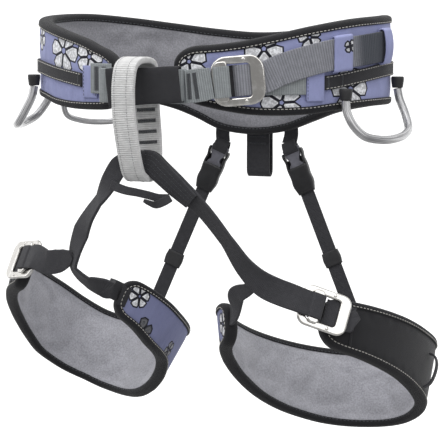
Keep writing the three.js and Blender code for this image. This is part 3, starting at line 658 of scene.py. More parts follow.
# tape folded over the rim: a U section [inward, out] carried round it, dimpled where each stitch pulls
def bindingRoll(name, pad, depth, half, lip, step=1.3, pucker=0.22):
    loop, inward = pad.rim(step)
    outer = np.array([[1, 0.86], [0.985, 0.95], [0.9, 0.99], [0.66, 1.0], [0.42, 0.98], [0.22, 0.86],
                      [0.08, 0.62], [0.01, 0.3]])
    outer = np.vstack([outer, (outer * [1, -1])[::-1]]) * [depth, half]
    inner = np.array([[1, -half + lip], [0.3, -half + lip * 1.1], [0.16, -half * 0.5], [0.16, half * 0.5],
                      [0.3, half - lip * 1.1], [1, half - lip]]) * [depth, 1]
    section = np.vstack([outer, inner])
    far = walked(np.vstack([loop, loop[:1]]))[:-1][:, None]
    d, w = section[None, :, 0], section[None, :, 1]
    near = np.exp(-((d / depth - 0.84) / 0.13) ** 2)
    wave = np.sin(far / 5.3 + 0.7 * np.sin(far / 17.0)) * 0.1 + np.sin(far / 2.1 + w) * 0.03
    dimple = pucker * near * (np.cos(far * 2 * math.pi / 3.1) - 1) / 2
    outSide = np.arange(len(section))[None] < len(outer)
    out = w + np.sign(w) * outSide * (dimple + wave * smoothStep(0.0, 0.5, d / depth))
    flat = loop[:, None] + inward[:, None] * d[..., None]
    points = pad.hoop.at(pad.hoop.angle(flat[..., 0]), flat[..., 1], out)
    girth = walked(np.vstack([section, section[:1]]))[:-1]
    uv = np.stack(np.broadcast_arrays(far, girth[None]), -1)
    return sweep(name, points, True, uv)


# thread round the rim, a set distance in from its edge, on the outer or the inner side
def rimStitches(name, pad, inset, out, pitch=3.1, **size):
    loop, inward = pad.rim(1.3)
    flat = np.vstack([loop, loop[:1]]) + np.vstack([inward, inward[:1]]) * inset
    angle = pad.hoop.angle(flat[:, 0])
    line = pad.hoop.at(angle, flat[:, 1], out)
    return stitches(name + "0", line, pad.hoop.facing(angle) * np.sign(out), pitch, **size)


# a strip round a hoop: a rounded section of half height x half thickness, carried from angle to angle
def hoopStrip(name, hoop, start, end, level, half, inner, outer, step=1.5, edge=0.7, rib=(0, 0.0)):
    far = np.arange(hoop.far(start), hoop.far(end) + 0.01, step)
    far = np.linspace(far[0], hoop.far(end), len(far))
    angle = hoop.angle(far)
    thick = (outer - inner) / 2
    section = roundBox(half, thick, min(edge, thick), 4)
    extra = np.linspace(-(half - edge), half - edge, 7)
    section = np.vstack([section[:4], np.stack([extra[::-1], np.full(7, thick)], 1)[1:-1], section[4:12],
                         np.stack([extra, np.full(7, -thick)], 1)[1:-1], section[12:]])
    swell = rib[1] * (np.abs(np.sin(math.pi * far / rib[0])) ** 0.7 - 1) if rib[0] else 0 * far
    h, w = section[None, :, 0], section[None, :, 1]
    points = hoop.at(angle[:, None], level(angle)[:, None] + h, (inner + outer) / 2 + w + swell[:, None] * (w > 0))
    uv = np.stack(np.broadcast_arrays(far[:, None], h + 0 * far[:, None]), -1)
    return sweep(name, points, uv=uv)


# a band sewn round something on a hoop: its path [height, out] closes on itself, its width is an angle
def hoopBand(name, hoop, start, end, level, path, thick, columns=9):
    angle = np.linspace(start, end, columns)
    ahead = unit(np.roll(path, -1, 0) - np.roll(path, 1, 0))
    normal = np.stack([ahead[:, 1], -ahead[:, 0]], 1)
    if np.sum(path * normal) - np.sum(path.mean(0) * normal) < 0:
        normal = -normal
    rows = []
    for shift, order in ((thick / 2, 1), (-thick / 2, -1)):
        p = path + normal * shift
        a = angle[::order]
        rows.append(hoop.at(a[None], level(a)[None] + p[:, :1], p[:, 1:]))
    points = np.concatenate(rows, 1)
    far = hoop.far(np.concatenate([angle, angle[::-1]]))
    uv = np.stack(np.broadcast_arrays(far[None], path[:, :1]), -1)
    return sweep(name, points, True, uv)


# a block of close zigzag thread across webbing, which holds two layers together
def barTack(name, centre, along, face, length, width, pitch=0.72):
    along, face = unit(np.array(along, float)), unit(np.array(face, float))
    side = np.cross(face, along)
    line = centre + np.outer(np.linspace(-width / 2, width / 2, 12), side)
    faces = np.tile(face, (12, 1))
    return stitches(name, line, faces, pitch, length, 0.3, np.tile(along, (12, 1)))


# waist belt
beltSize = {"halfWidth": 135, "halfDepth": 100, "start": 4.5, "end": 346.5, "nose": 18, "skinOut": 4.8,
            "binding": 6.0, "bindingOut": 5.7, "lip": 1.2, "shellCrown": 0.15, "liningCrown": 0.9}
waist = Hoop(1, beltSize["halfWidth"], beltSize["halfDepth"])
beltPad = Pad(waist, beltSize["start"], beltSize["end"], beltSize["nose"],
              top=[[0, 15], [12, 15.7], [24, 18.3], [37, 24], [50, 29.7], [67, 34.6], [84, 36.5], [110, 37],
                   [135, 33], [160, 25.5], [180, 22.6], [194, 25], [208, 29], [226, 34], [246, 37.5],
                   [268, 37], [290, 34.5], [307, 30], [320, 25], [331, 19.5], [339, 13], [350, 8]],
              bottom=[[0, -22], [8, -25], [14, -28.5], [20, -31.5], [30, -34.7], [48, -34.6], [58, -32.4],
                      [70, -30.6], [85, -30], [105, -31], [130, -35], [148, -41.6], [158, -49], [168, -57],
                      [178, -61], [187, -60.7], [195, -57], [203, -48], [212, -40], [230, -32], [255, -28],
                      [290, -26.5], [305, -28], [314, -31], [326, -33], [350, -32]])
tapeLevel = profile([[50, -12.6], [58, -10.7], [70, -7], [85, -3.7], [105, -3], [140, -7], [180, -9],
                     [220, -7], [250, -3.5], [275, -2.4], [302, -3], [318, -7], [332, -11.2]])
tailLevel = profile([[20, -10], [31.6, -6.5], [44, 2.6], [56, 8.7], [70, 12], [83, 14.4], [95, 15]])

# the print on the belt: [angle, height, turn, petals, inner reach, outer reach, petal width]
beltFlowers = [[320.6, 10.5, 18, 6, 2.9, 17.1, 10.1], [334, 6.5, 40, 5, 2.2, 13.4, 9.4],
               [9.8, 4, 62, 5, 2, 12.8, 9.7], [33, 13.5, 20, 5, 2.2, 14, 9],
               [38.8, -25.5, 75, 5, 2.2, 14.6, 9.9], [48.5, 21.5, 0, 5, 1.5, 8.5, 6.1],
               [65.5, -16.5, 30, 6, 2.6, 15.9, 9.4], [120, 18, 10, 6, 2.9, 17.1, 10.1],
               [150, -26, 40, 5, 2.2, 13.4, 9], [205, 14, 0, 6, 2.9, 17.1, 10.1],
               [232, -20, 20, 5, 2.2, 12.8, 9], [262, 20, 50, 6, 2.9, 17.1, 10.1],
               [300, 20, 15, 5, 1.8, 9.8, 6.6]]


def finishes():
    blooms = [[float(waist.far(f[0])), *f[1:], 1.0] for f in beltFlowers]
    return {
        "beltCloth": violetFinish("beltCloth", blooms),
        "plainViolet": violetFinish("plainViolet", []),
        "keeperViolet": violetFinish("keeperViolet", [[float(waist.far(62.6)), 4.5, 10, 4, 0.8, 4.4, 3.4, 0.8]]),
        "lining": liningFinish("lining"),
        # the belt's lining is a darker copy (0.66) of the same grey lining: painted shade
        "beltLiningShaded": liningFinish("beltLiningShaded", 0.66),
        "binding": tapeFinish("binding", clothFinish["binding"], 0.7, 0.35),
        "blackTape": tapeFinish("blackTape", tone(clothFinish["blackWeb"], 0.65), 1.0, 0.4),
        "blackWeb": webbingFinish("blackWeb", clothFinish["blackWeb"], 1.1, 1.3, 0.4),
        "panel": tapeFinish("panel", tone(clothFinish["binding"], 1.1), 1.3, 0.35, 0.8, 0.2),
        "greyWeb": webbingFinish("greyWeb", clothFinish["greyWeb"], 1.6, 1.2, 0.62),
        "tailWeb": webbingFinish("tailWeb", clothFinish["tailWeb"], 1.95, 1.2, 0.72,
                                 (clothFinish["darkTail"], (waist.far(64.0) - 45, waist.far(72.0) - 45))),
        "belayWeb": webbingFinish("belayWeb", clothFinish["belayWeb"], 1.55, 1.0, 0.35),
        "thread": threadFinish("thread", clothFinish["thread"]),
        "palethread": threadFinish("palethread", (0.33, 0.33, 0.34)),
        "darkThread": threadFinish("darkThread", clothFinish["darkThread"]),
        "metal": metalFinish(),
        "tube": tubeFinish(),
        "clipGrey": plasticFinish("clipGrey", (0.135, 0.135, 0.16)),
        "clipBlack": plasticFinish("clipBlack", (0.014, 0.014, 0.016)),
        "rubber": plasticFinish("rubber", (0.022, 0.022, 0.024), 0.6),
        "elastic": webbingFinish("elastic", clothFinish["blackWeb"], 1.2, 0.9, 0.35),
    }


finish = finishes()


def makeBelt():
    b = beltSize
    inset = b["binding"] - 2.2
    for name, node, face, back, crown, cap, look, slot in (
            ("waistShell", "waist_shell", b["skinOut"] - 0.35, 0.25, b["shellCrown"], 0.5, "beltCloth", "fabric_violet"),
            ("waistLining", "waist_lining", -b["skinOut"] + 0.2, -0.25, -b["liningCrown"], 2.2, "beltLiningShaded", "lining_grey")):
        piece, far, height = padSkin(name, beltPad, inset, face, back, crown, 19, 3.6)
        columns = height.shape[1]
        pinned = np.ones((len(far), 2 * columns), bool)
        pinned[2:-2, 2:columns - 2] = False
        if face > 0:   # the tape's two rows of stitching hold the shell down
            gapTape = np.abs(height - tapeLevel(waist.angle(far))[:, None])
            pinned[:, :columns] |= gapTape < 6.5
        puff(piece, pinned.ravel(), cap)
        smoother(piece)
        dress(piece, finish[look], "waist", slot, node, *(["waist_foam"] if face < 0 else []))
    dress(bindingRoll("waistBinding", beltPad, b["binding"], b["bindingOut"], b["lip"]), finish["binding"],
          "waist", "binding_black", "waist_binding")
    dress(rimStitches("waistStitching", beltPad, b["binding"] - 1.1, b["bindingOut"] - 0.05), finish["thread"],
          "waist", "web_pale")
    dress(rimStitches("waistStitchingInside", beltPad, b["binding"] - 1.1, -b["bindingOut"] + 0.05),
          finish["darkThread"], "waist", "web_black")


def makeTape():
    t = {"start": 53.8, "end": 331.2, "half": 5.25, "inner": 5.1, "outer": 7.0, "rowIn": 1.1}
    dress(hoopStrip("gearTape", waist, t["start"], t["end"], tapeLevel, t["half"], t["inner"], t["outer"]),
          finish["blackTape"], "waist", "web_black", "gear_tape")
    rows = []
    for side in (-1, 1):
        angle = np.linspace(t["start"] + 0.5, t["end"] - 0.5, 500)
        line = waist.at(angle, tapeLevel(angle) + side * (t["half"] - t["rowIn"]), t["outer"])
        rows.append(stitches("row", line, waist.facing(angle), 3.0, 2.2, 0.3))
    dress(joinPieces("tapeStitching", rows), finish["thread"], "waist", "web_pale")
    tacks = [barTack("tack", waist.at(a, tapeLevel(a), t["outer"]), waist.at(a + 1, 0, 0) - waist.at(a, 0, 0),
                     waist.facing(a), 1.6, 7.5) for a in (55.2, 61, 96.5, 130, 180, 220, 255, 263.5, 299, 329.6)]
    dress(joinPieces("tapeTacks", tacks), finish["darkThread"], "waist", "web_black")


def makeTunnels():
    flat = {"tunnel_left": (331.6, 337.8, -12, 12, 5.1, 6.4, "plainViolet", "fabric_violet"),
            "tunnel_right": (47.1, 53.5, -11.9, 12.9, 5.1, 7.6, "plainViolet", "fabric_violet"),
            "anchor_left": (336.2, 343.9, -9.2, 11.2, 6.5, 8.9, "greyWeb", "web_grey"),
            "anchor_right": (33, 46.8, -9, 11, 5.1, 7.6, "greyWeb", "web_grey")}
    for node, (start, end, level, half, inner, outer, look, slot) in flat.items():
        name = {"t": "tunnel", "a": "anchor"}[node[0]] + node.split("_")[1].title()
        piece = hoopStrip(name, waist, start, end, lambda a: level + 0 * a, half, inner, outer, 0.7, 0.8,
                          (1.6, 0.25) if look == "greyWeb" else (0, 0))
        dress(piece, finish[look], "waist", slot, node)
    seams = []
    for start, level, half, out in ((332.0, -12, 12, 6.4), (337.3, -12, 12, 6.4), (47.5, -11.9, 12.9, 7.6)):
        line = waist.at(start, np.linspace(level - half + 1, level + half - 1, 20), out)
        seams.append(stitches("seam", line, np.tile(waist.facing(start), (20, 1)), 2.6, 1.8, 0.24))
    dress(joinPieces("tunnelStitching", seams), finish["darkThread"], "waist", "web_black")
    tacks = [barTack("tack", waist.at(a, -9.2, 8.9), waist.at(a + 1, 0, 0) - waist.at(a, 0, 0), waist.facing(a),
                     4.6, 18) for a in (338.6, 341.6)]
    dress(joinPieces("anchorTacks", tacks), finish["darkThread"], "waist", "web_black")


# the tie-in ring: two flat strands whose ends turn in half circles; the front one runs in a sleeve
def makeTieIn():
    t = {"front": -118, "rear": -108.5, "level": -13.5, "height": 25, "thick": 2.4, "ends": (-42, 24)}
    bend, middle = (t["rear"] - t["front"]) / 2, (t["rear"] + t["front"]) / 2
    turn = np.radians(np.linspace(-90, 90, 14))
    right = np.stack([t["ends"][1] - bend + bend * np.cos(turn), middle + bend * np.sin(turn)], 1)
    left = np.stack([t["ends"][0] + bend - bend * np.cos(turn), middle - bend * np.sin(turn)], 1)
    loop = np.vstack([right, left, right[:1]])
    loop = evenly(np.hstack([loop, np.full((len(loop), 1), t["level"])]), 281)[:-1]
    tangent = unit(np.roll(loop, -1, 0) - np.roll(loop, 1, 0))
    piece = webbing("tieInWebbing", loop, np.cross(tangent, up), t["height"], t["thick"], 2.2, 0.2, ring=True)
    dress(piece, finish["greyWeb"], "waist", "web_grey", "tie_in_webbing")
    x = np.linspace(-34, 23.5, 66)
    share = (x + 34) / 57.5
    half = 14.0 - 1.0 * share + 0.25 * np.sin(share * 9)
    deep = 3.6 - 0.5 * np.sin(share * math.pi) + 0.12 * np.sin(share * 23)
    ring = roundBox(1, 1, 0.35, 7)
    lean = (share - 0.5) * 3.2
    outer = np.stack([x[:, None] - 0.10 * np.outer(half, ring[:, 1]), t["front"] + np.outer(deep, ring[:, 0]),
                      t["level"] + lean[:, None] + np.outer(half, ring[:, 1])], -1)
    inner = np.stack([x[:, None] - 0.10 * np.outer(half, ring[:, 1]), t["front"] + np.outer(deep - 0.9, ring[:, 0]),
                      t["level"] + lean[:, None] + np.outer(half - 0.9, ring[:, 1])], -1)
    both = np.concatenate([outer, inner[::-1]])
    uv = np.stack(np.broadcast_arrays(both[..., 0], both[..., 2]), -1)
    dress(sweep("tieInSleeve", both, True, uv), finish["blackTape"], "waist", "web_black", "tie_in_sleeve")


# a buckle's own frame of axes: along the webbing, across it, and the way the buckle looks
class Seat:
    def __init__(self, place, along, facing):
        self.at, self.z = np.array(place, float), unit(np.array(facing, float))
        self.x = unit(along - self.z * np.dot(along, self.z))
        self.y = np.cross(self.z, self.x)

    def __call__(self, local):
        local = np.asarray(local, float)
        return self.at + local[..., :1] * self.x + local[..., 1:2] * self.y + local[..., 2:] * self.z


# a buckle: a rounded frame, thicker along its end bars, with a slider bar whose ears rest on its arms
def makeBuckle(word, seat, frameSize, sliderWide, sliderBack, nodes, bodies, webWidth, look, slot):
    f = frameSize
    outline = roundBox(f["length"] / 2, f["across"] / 2, f["corner"], 9)
    hole = roundBox(f["window"][0] / 2, f["window"][1] / 2, 2.6, 9) + [f["shift"], 0]
    piece = slab(word + "Frame", outline, f["thick"], 1.25, lambda p: seat(p + np.array(f["at"])), hole, 6)
    dress(piece, finish["metal"], bodies[0], "aluminium", nodes[0])
    lift = (f["thick"] + 2.4) / 2 + 0.3
    bar = Seat(seat([-sliderBack, 0, lift]), seat.x, seat.z)
    ears = f["window"][1] / 2 + 2.4
    piece = slab(word + "Slider", roundBox(sliderWide / 2, ears, 2.6, 7), 2.4, 0.9, lambda p: bar(p), None, 5)
    dress(piece, finish["metal"], bodies[1], "aluminium", nodes[1])
    rivets = []
    for side in (-1, 1):
        turn = np.linspace(0, 2 * math.pi, 20, endpoint=False)
        rise = np.array([0.0, 0.35, 0.6, 0.7])
        girth = np.array([1.5, 1.35, 0.85, 0.25])
        centre = [f["length"] * 0.13 + f["at"][0], side * (f["across"] + f["window"][1]) / 4, f["thick"] / 2 - 0.15]
        dome = np.stack([np.outer(girth, np.cos(turn)), np.outer(girth, np.sin(turn)),
                         np.outer(rise, np.ones(20))], -1) + centre
        rivets.append(sweep("rivet", seat(dome)))
    dress(joinPieces(word + "Rivets", rivets), finish["metal"], bodies[0], "aluminium")
    wrap = roundBox(sliderWide / 2 + 0.9, 2.1, 2.0, 9)
    ring = evenly(np.vstack([wrap, wrap[:1]]) @ np.array([[1, 0, 0], [0, 0, 1.0]]), 121)[:-1]
    tangent = unit(np.roll(ring, -1, 0) - np.roll(ring, 1, 0))
    face = np.cross(tangent, [0, 1.0, 0])
    world = bar(ring)
    face = face[:, :1] * bar.x + face[:, 1:2] * bar.y + face[:, 2:] * bar.z
    piece = webbing(word + "Wrap", world, face, webWidth, 1.2, 1.6 if look == "greyWeb" else 0, 0.2, 0.4, 7, True)
    dress(piece, finish[look], bodies[1], slot)


def makeWaistBuckle():
    frameSize = {"length": 39, "across": 36, "corner": 11, "thick": 3.2, "window": (23.5, 24.5), "shift": -2.6,
                 "at": (4.0, 0, 0)}
    facing = unit(waist.facing(23.5))
    along = unit(np.cross(up, facing) + [0, 0, 0.09])
    seat = Seat(waist.at(23.5, -9.5, 15.2), along, facing)
    seat.x = along
    makeBuckle("waistBuckle", seat, frameSize, 9, 7.5, ("waist_buckle_frame", "waist_buckle_slider"),
               ("waist", "waist_slider"), 22.6, "greyWeb", "web_grey")
    end = seat([-7.5 - 4.5 - 2.6, 0, 3.4])
    stops = np.array([[26, -115.4, -13.5], end + [-12.7, -2.6, -2.2], end + [-6, -2.3, -1.1], end])
    line = evenly(smoothLine(stops, 80), 90)
    share = np.linspace(0, 1, 90)[:, None]
    face = unit((1 - smoothStep(0.5, 1, share)) * [0, -1.0, 0] + smoothStep(0.5, 1, share) * facing)
    width = 24 - 1.5 * smoothStep(0.6, 1, share[:, 0])
    dress(webbing("buckleStrap", line, face, width, 2.3, 1.6, 0.28), finish["greyWeb"], "waist", "web_grey",
          "buckle_strap")
    tacks = [barTack("tack", line[k] + face[k] * 1.15, line[k + 1] - line[k], face[k], 3.6, 19) for k in (14, 38)]
    dress(joinPieces("buckleStrapTacks", tacks), finish["darkThread"], "waist", "web_black")
    # the loose end rises through the buckle's window, then lies along the belt
    angle = np.linspace(37.5, 87.5, 100)
    lie = waist.at(angle, tailLevel(angle), 9.0)
    rise = np.array([seat([1.0, 0, -3.4]), seat([3.2, 0, -0.9]), seat([6.5, 0, 0.3]), seat([11.5, 0, -0.6]),
                     seat([16, 0, -3.2]), seat([22, 0.3, -5.0])])
    line = evenly(np.vstack([smoothLine(np.vstack([rise, lie[:1]]), 80)[:-4], lie]), 380)
    face = waist.facing(np.clip(np.degrees(np.arctan2(line[:, 0] / 135, -line[:, 1] / 100)), 23.5, 88))
    dress(webbing("waistTail", line, face, 22.5, 2.0, 1.95, 0.4), finish["tailWeb"], "waist", "web_dark_grey",
          "waist_tail")
    # a black webbing sheet under the buckle's window, beside the slider: a painted shadow, made as a dark sheet where
    # the gap is only in shade
    under = [(seat([x, 0, z]), facing, 22.6, 1.4) for x, z in ((-15, -1.9), (-8, -2.8), (0, -3.4), (3, -4.6))]
    dress(webbing("buckleShadowSheet", *strapRoute(under, 40)), finish["blackWeb"], "waist", "web_black")


def makeKeepers():
    for name, node, start, end, bulge in (("keeperFront", "keeper_front", 56.4, 63.8, 0.0),
                                          ("keeperSide", "keeper_side", 80.5, 86, 2.2)):
        ring = roundBox(12.9, 2.2, 1.6, 9)
        path = evenly(np.vstack([ring, ring[:1]]) @ np.array([[1, 0, 0], [0, 1, 0.0]]), 97)[:-1, :2]
        path[:, 1] += 9.1 + np.where(path[:, 1] > 0, bulge * (1 - (path[:, 0] / 13) ** 2), 0)
        piece = hoopBand(name, waist, start, end, tailLevel, path, 0.9)
        dress(piece, finish["keeperViolet"], "waist", "fabric_violet", node)


def makeBelay():
    b = {"x": -12, "y": -120, "width": 19, "thick": 4.8}
    ring = np.array([[-20.6, -26], [-20.3, -12], [-16, 0.4], [-7, 4.6], [7, 4.8], [17, 1.4], [20.8, -11],
                     [20.7, -30], [20.4, -52], [18.2, -68], [12, -77.0], [1, -80.6], [-8.5, -77.2], [-14.5, -68],
                     [-18.4, -54], [-20.3, -40]])
    count = len(ring)
    line = smoothLine(np.vstack([ring, ring, ring]) @ np.array([[0, 1, 0], [0, 0, 1.0]]) + [b["x"], b["y"], 0],
                      (3 * count - 1) * 40 + 1)[count * 40:2 * count * 40 + 1]
    line = evenly(line, 801)[:-1]
    line[:, 0] += 3.0 * smoothStep(-20, -72, line[:, 2])
    tangent = unit(np.roll(line, -1, 0) - np.roll(line, 1, 0))
    face = np.cross(tangent, [1.0, 0, 0])
    if np.sum((line - line.mean(0)) * face) < 0:
        face = -face
    width = b["width"] - 1.9 * smoothStep(4, -8, line[:, 1] - b["y"])
    piece = webbing("belayLoop", line, face, width, b["thick"], 1.55, 0.26, 0.9, 13, True)
    dress(piece, finish["belayWeb"], "belay_loop", "web_pale", "belay_loop")
    rows = []
    for offset in (3.2, -6.2):
        loop = np.vstack([line, line[:1]])
        outward = np.vstack([face, face[:1]])
        rows.append(stitches("row", loop + outward * (b["thick"] / 2 + 0.02) + [offset, 0, 0], outward,
                             2.3, 1.7, 0.2))
    dress(joinPieces("belayStitching", rows), finish["palethread"], "belay_loop", "web_pale")
    tacks = []
    for level in (-31.5, -39.5, -47.5, -55.5):
        k = np.argmin(np.abs(line[:, 2] - level) + 100 * (line[:, 1] < b["y"]))
        tacks.append(barTack("tack", line[k] - face[k] * b["thick"] / 2, tangent[k], -face[k], 3.0, 14.5))
    dress(joinPieces("belayTacks", tacks), finish["darkThread"], "belay_loop", "web_black")


def makeHaul():
    y = 100 + 6.1 + 1 + 3.5 + 2
    ring = np.array([[-3.5, -58], [-3.5, -70], [-3.7, -84], [-3, -93.5], [0, -96], [3, -93.5], [3.7, -84],
                     [3.5, -70], [3.5, -58], [2.4, -51.5], [0, -50], [-2.4, -51.5]])
    count = len(ring)
    line = smoothLine(np.vstack([ring, ring, ring]) @ np.array([[0, 1, 0], [0, 0, 1.0]]) + [-4, y, 0],
                      (3 * count - 1) * 30 + 1)[count * 30:2 * count * 30 + 1]
    line = evenly(line, 241)[:-1]
    tangent = unit(np.roll(line, -1, 0) - np.roll(line, 1, 0))
    face = np.cross(tangent, [1.0, 0, 0])
    if np.sum((line - line.mean(0)) * face) < 0:
        face = -face
    dress(webbing("haulLoop", line, face, 20, 2, 0, 0, 0.6, 13, True), finish["blackWeb"], "haul_loop", "web_black",
          "haul_loop")
    rows = []
    for level in (-58, -63.5, -69):
        k = np.argmin(np.abs(line[:, 2] - level) + 100 * (line[:, 1] > y))
        rows.append(barTack("tack", line[k] - face[k] * 1.0 + [6, 0, 0], tangent[k], -face[k] * -1, 1.6, 5))
        rows.append(barTack("tack", line[k] + face[k] * 1.0, tangent[k], face[k], 1.8, 15))
    dress(joinPieces("haulTacks", rows), finish["darkThread"], "haul_loop", "web_black")


# gear loops: each hangs from the tape's lower edge in a rounded sag; the two front loops have their ends held in short
# sleeves
def makeGearLoops():
    shape = np.array([[0, 0, 0], [0, 0.25, 1.5], [0.03, 0.55, 6], [0.12, 0.82, 10], [0.3, 0.96, 12.2], [0.5, 1, 12.6],
                      [0.7, 0.97, 12.4], [0.88, 0.86, 10.4], [0.97, 0.58, 6.4], [1, 0.25, 1.7], [1, 0, 0]])
    drop, standoff, sleeve = 41, 11.2, 8.4
    for body, start, end, radius, sleeved in (("gear_loop_front_right", 61, 96.5, 3.2, True),
                                              ("gear_loop_rear_left", 220, 255, 2.4, False),
                                              ("gear_loop_front_left", 263.5, 299, 3.2, True)):
        word = "".join(w.title() for w in body.split("_"))
        word = word[0].lower() + word[1:]
        hidden = sleeve + 0.3 if sleeved else 0
        top = [float(tapeLevel(a)) - 6.05 for a in (start, end)]
        s, down, out = shape.T
        angle = start + (end - start) * s
        level = top[0] - hidden + (top[1] - top[0]) * s - (drop - hidden) * down
        line = evenly(smoothLine(waist.at(angle, level, standoff + out), 220), 120)
        dress(tube(word, line, radius), finish["tube"], body, "tube_silver", body)
        for a, z, letter in ((start, top[0], "a"), (end, top[1], "b")):
            if sleeved:
                fall = np.linspace(0, sleeve, 16)
                girth = 4.9 - 0.7 * smoothStep(1.5, sleeve, fall) - 0.5 * np.exp(-fall * 2.5) - 0.3 * smoothStep(
                    sleeve - 0.8, sleeve, fall)
                line = waist.at(a, z - fall, standoff)
                dress(tube(word + "Sleeve" + letter.upper(), line, girth), finish["rubber"], body, "web_black",
                      f"{body}_sleeve_{letter}")


makeBelt()
print("belt padding and binding made")
makeTape()
makeTunnels()
makeTieIn()
makeWaistBuckle()
makeKeepers()
print("belt webbing and buckle made")
makeBelay()
makeHaul()
makeGearLoops()
print("loops made")


# leg loops
# front and branch stations: x, distance back from the leg webbing's front, z, width
legs = {
    "right": {
        "side": 1, "from": 44, "halfSide": 67, "inner": 30, "level": -200, "roll": 12,
        "top": [[30, 0], [60, 1], [90, 0], [116, -2], [150, -1], [200, 1], [245, 1], [275, 2], [300, 3], [330, 2],
                [352, 0]],
        "bottom": [[30, -27], [44, -31], [55, -35.5], [69, -38.5], [92, -44], [118, -51], [147, -56],
                   [175, -60.5], [200, -62], [230, -62], [245, -60], [260, -57], [275, -52], [293, -43.5],
                   [310, -36], [345, -29]],
        "buckle": (44, -10.5, -0.26), "keeper": 0.52, "riserX": 24.6, "padEnd": -10,
        "front": [[-6, 0, -67.6, 16, 0], [1, 0, -68.6, 17, 0], [8, 0, -74.5, 17.5, -6], [20, 1.5, -85, 18, -18],
                  [37.5, 5, -101, 16.5, -34], [56, 8, -124, 16.5, -38], [70, 10.5, -144, 17.5, -20],
                  [83.5, 12, -155.5, 19, -2]],
        "branch": [[76, 12.5, -156, 8, 0], [69, 14.7, -160.5, 10, 0], [60, 18.5, -165, 14, 0]],
        "flowers": [[338, -15, 20, 5, 1.4, 9.0, 6.6, 1.0], [322, -28, 50, 5, 1.4, 8.5, 6.0, 0.15],
                    [300, -12, 15, 6, 2.0, 12.5, 7.6, 1.0], [272, -40, 40, 6, 2.0, 11.5, 7.0, 0.15],
                    [246, -12, 0, 5, 1.6, 9.0, 6.6, 1.0], [222, -44, 20, 6, 2.0, 11.0, 7.0, 0.3]],
        "cover": None, "seam": 60,
    },
    "left": {
        "side": -1, "from": 54, "halfSide": 72, "inner": 20, "level": -181, "roll": 20,
        "top": [[30, 3], [60, 4], [100, 5], [134, 6], [147, 5], [162, 2], [180, -1], [200, -1], [240, -4],
                [270, -5], [297, -4], [310, -2], [327, 0], [340, 0], [352, -4]],
        "bottom": [[30, -27], [44, -29], [60, -31], [80, -34], [100, -39], [115, -45], [129, -52], [141, -58],
                   [154, -61], [167, -63], [182, -64], [200, -66], [235, -66], [252, -60], [268, -52],
                   [285, -43.5], [297, -41], [310, -39], [328, -33], [345, -29]],
        "buckle": (46, -12, -0.1), "keeper": 0.62, "riserX": -34.6, "padEnd": -13,
        "front": [[-19, 2.6, -68.2, 14, 0], [-25, 0.5, -72, 15, 0], [-31, -2, -82, 15, -10], [-41, -1, -97.4, 16, -50],
                  [-50.5, 1, -110, 16.5, -40], [-57.5, 3, -122, 17, -24], [-64.8, 6, -138.9, 17, -40],
                  [-66.8, 9, -149.8, 17, -52], [-57.7, 13, -160.4, 17, -50], [-45.6, 16.5, -164.8, 17, -24]],
        "branch": [[-66, 4, -139.5, 7, 0], [-72, 6.5, -142.5, 14, 0], [-80, 9, -145.5, 18, 0],
                   [-90, 11, -147, 18.6, 0]],
        "flowers": [[333, -10, 10, 6, 1.6, 8.6, 5.6, 1.0], [322, -33, 40, 5, 1.8, 11.0, 6.6, 0.12],
                    [291, -33, 20, 5, 1.4, 7.5, 5.0, 0.35], [303, -1, 50, 5, 1.0, 5.5, 4.2, 0.2],
                    [262, -14, 0, 6, 2.0, 12.5, 7.6, 1.0], [238, -46, 30, 6, 2.0, 11.5, 7.0, 0.15],
                    [214, -20, 15, 5, 1.6, 9.0, 6.2, 1.0]],
        "cover": (339, 344.2), "seam": 70,
    },
}
legFrontY = -120
legPadding = {"flare": 0.15, "halfFront": 99, "frontAt": -102, "turn": 17, "pitch": 19, "end": 345, "nose": 12,
              "shell": 4.0, "binding": 4.9, "bindingOut": 4.8, "lip": 1.1}
riserSize = {"width": 12, "thick": 1.6, "angle": 206, "topY": 108.5, "topZ": -52, "plug": 18}


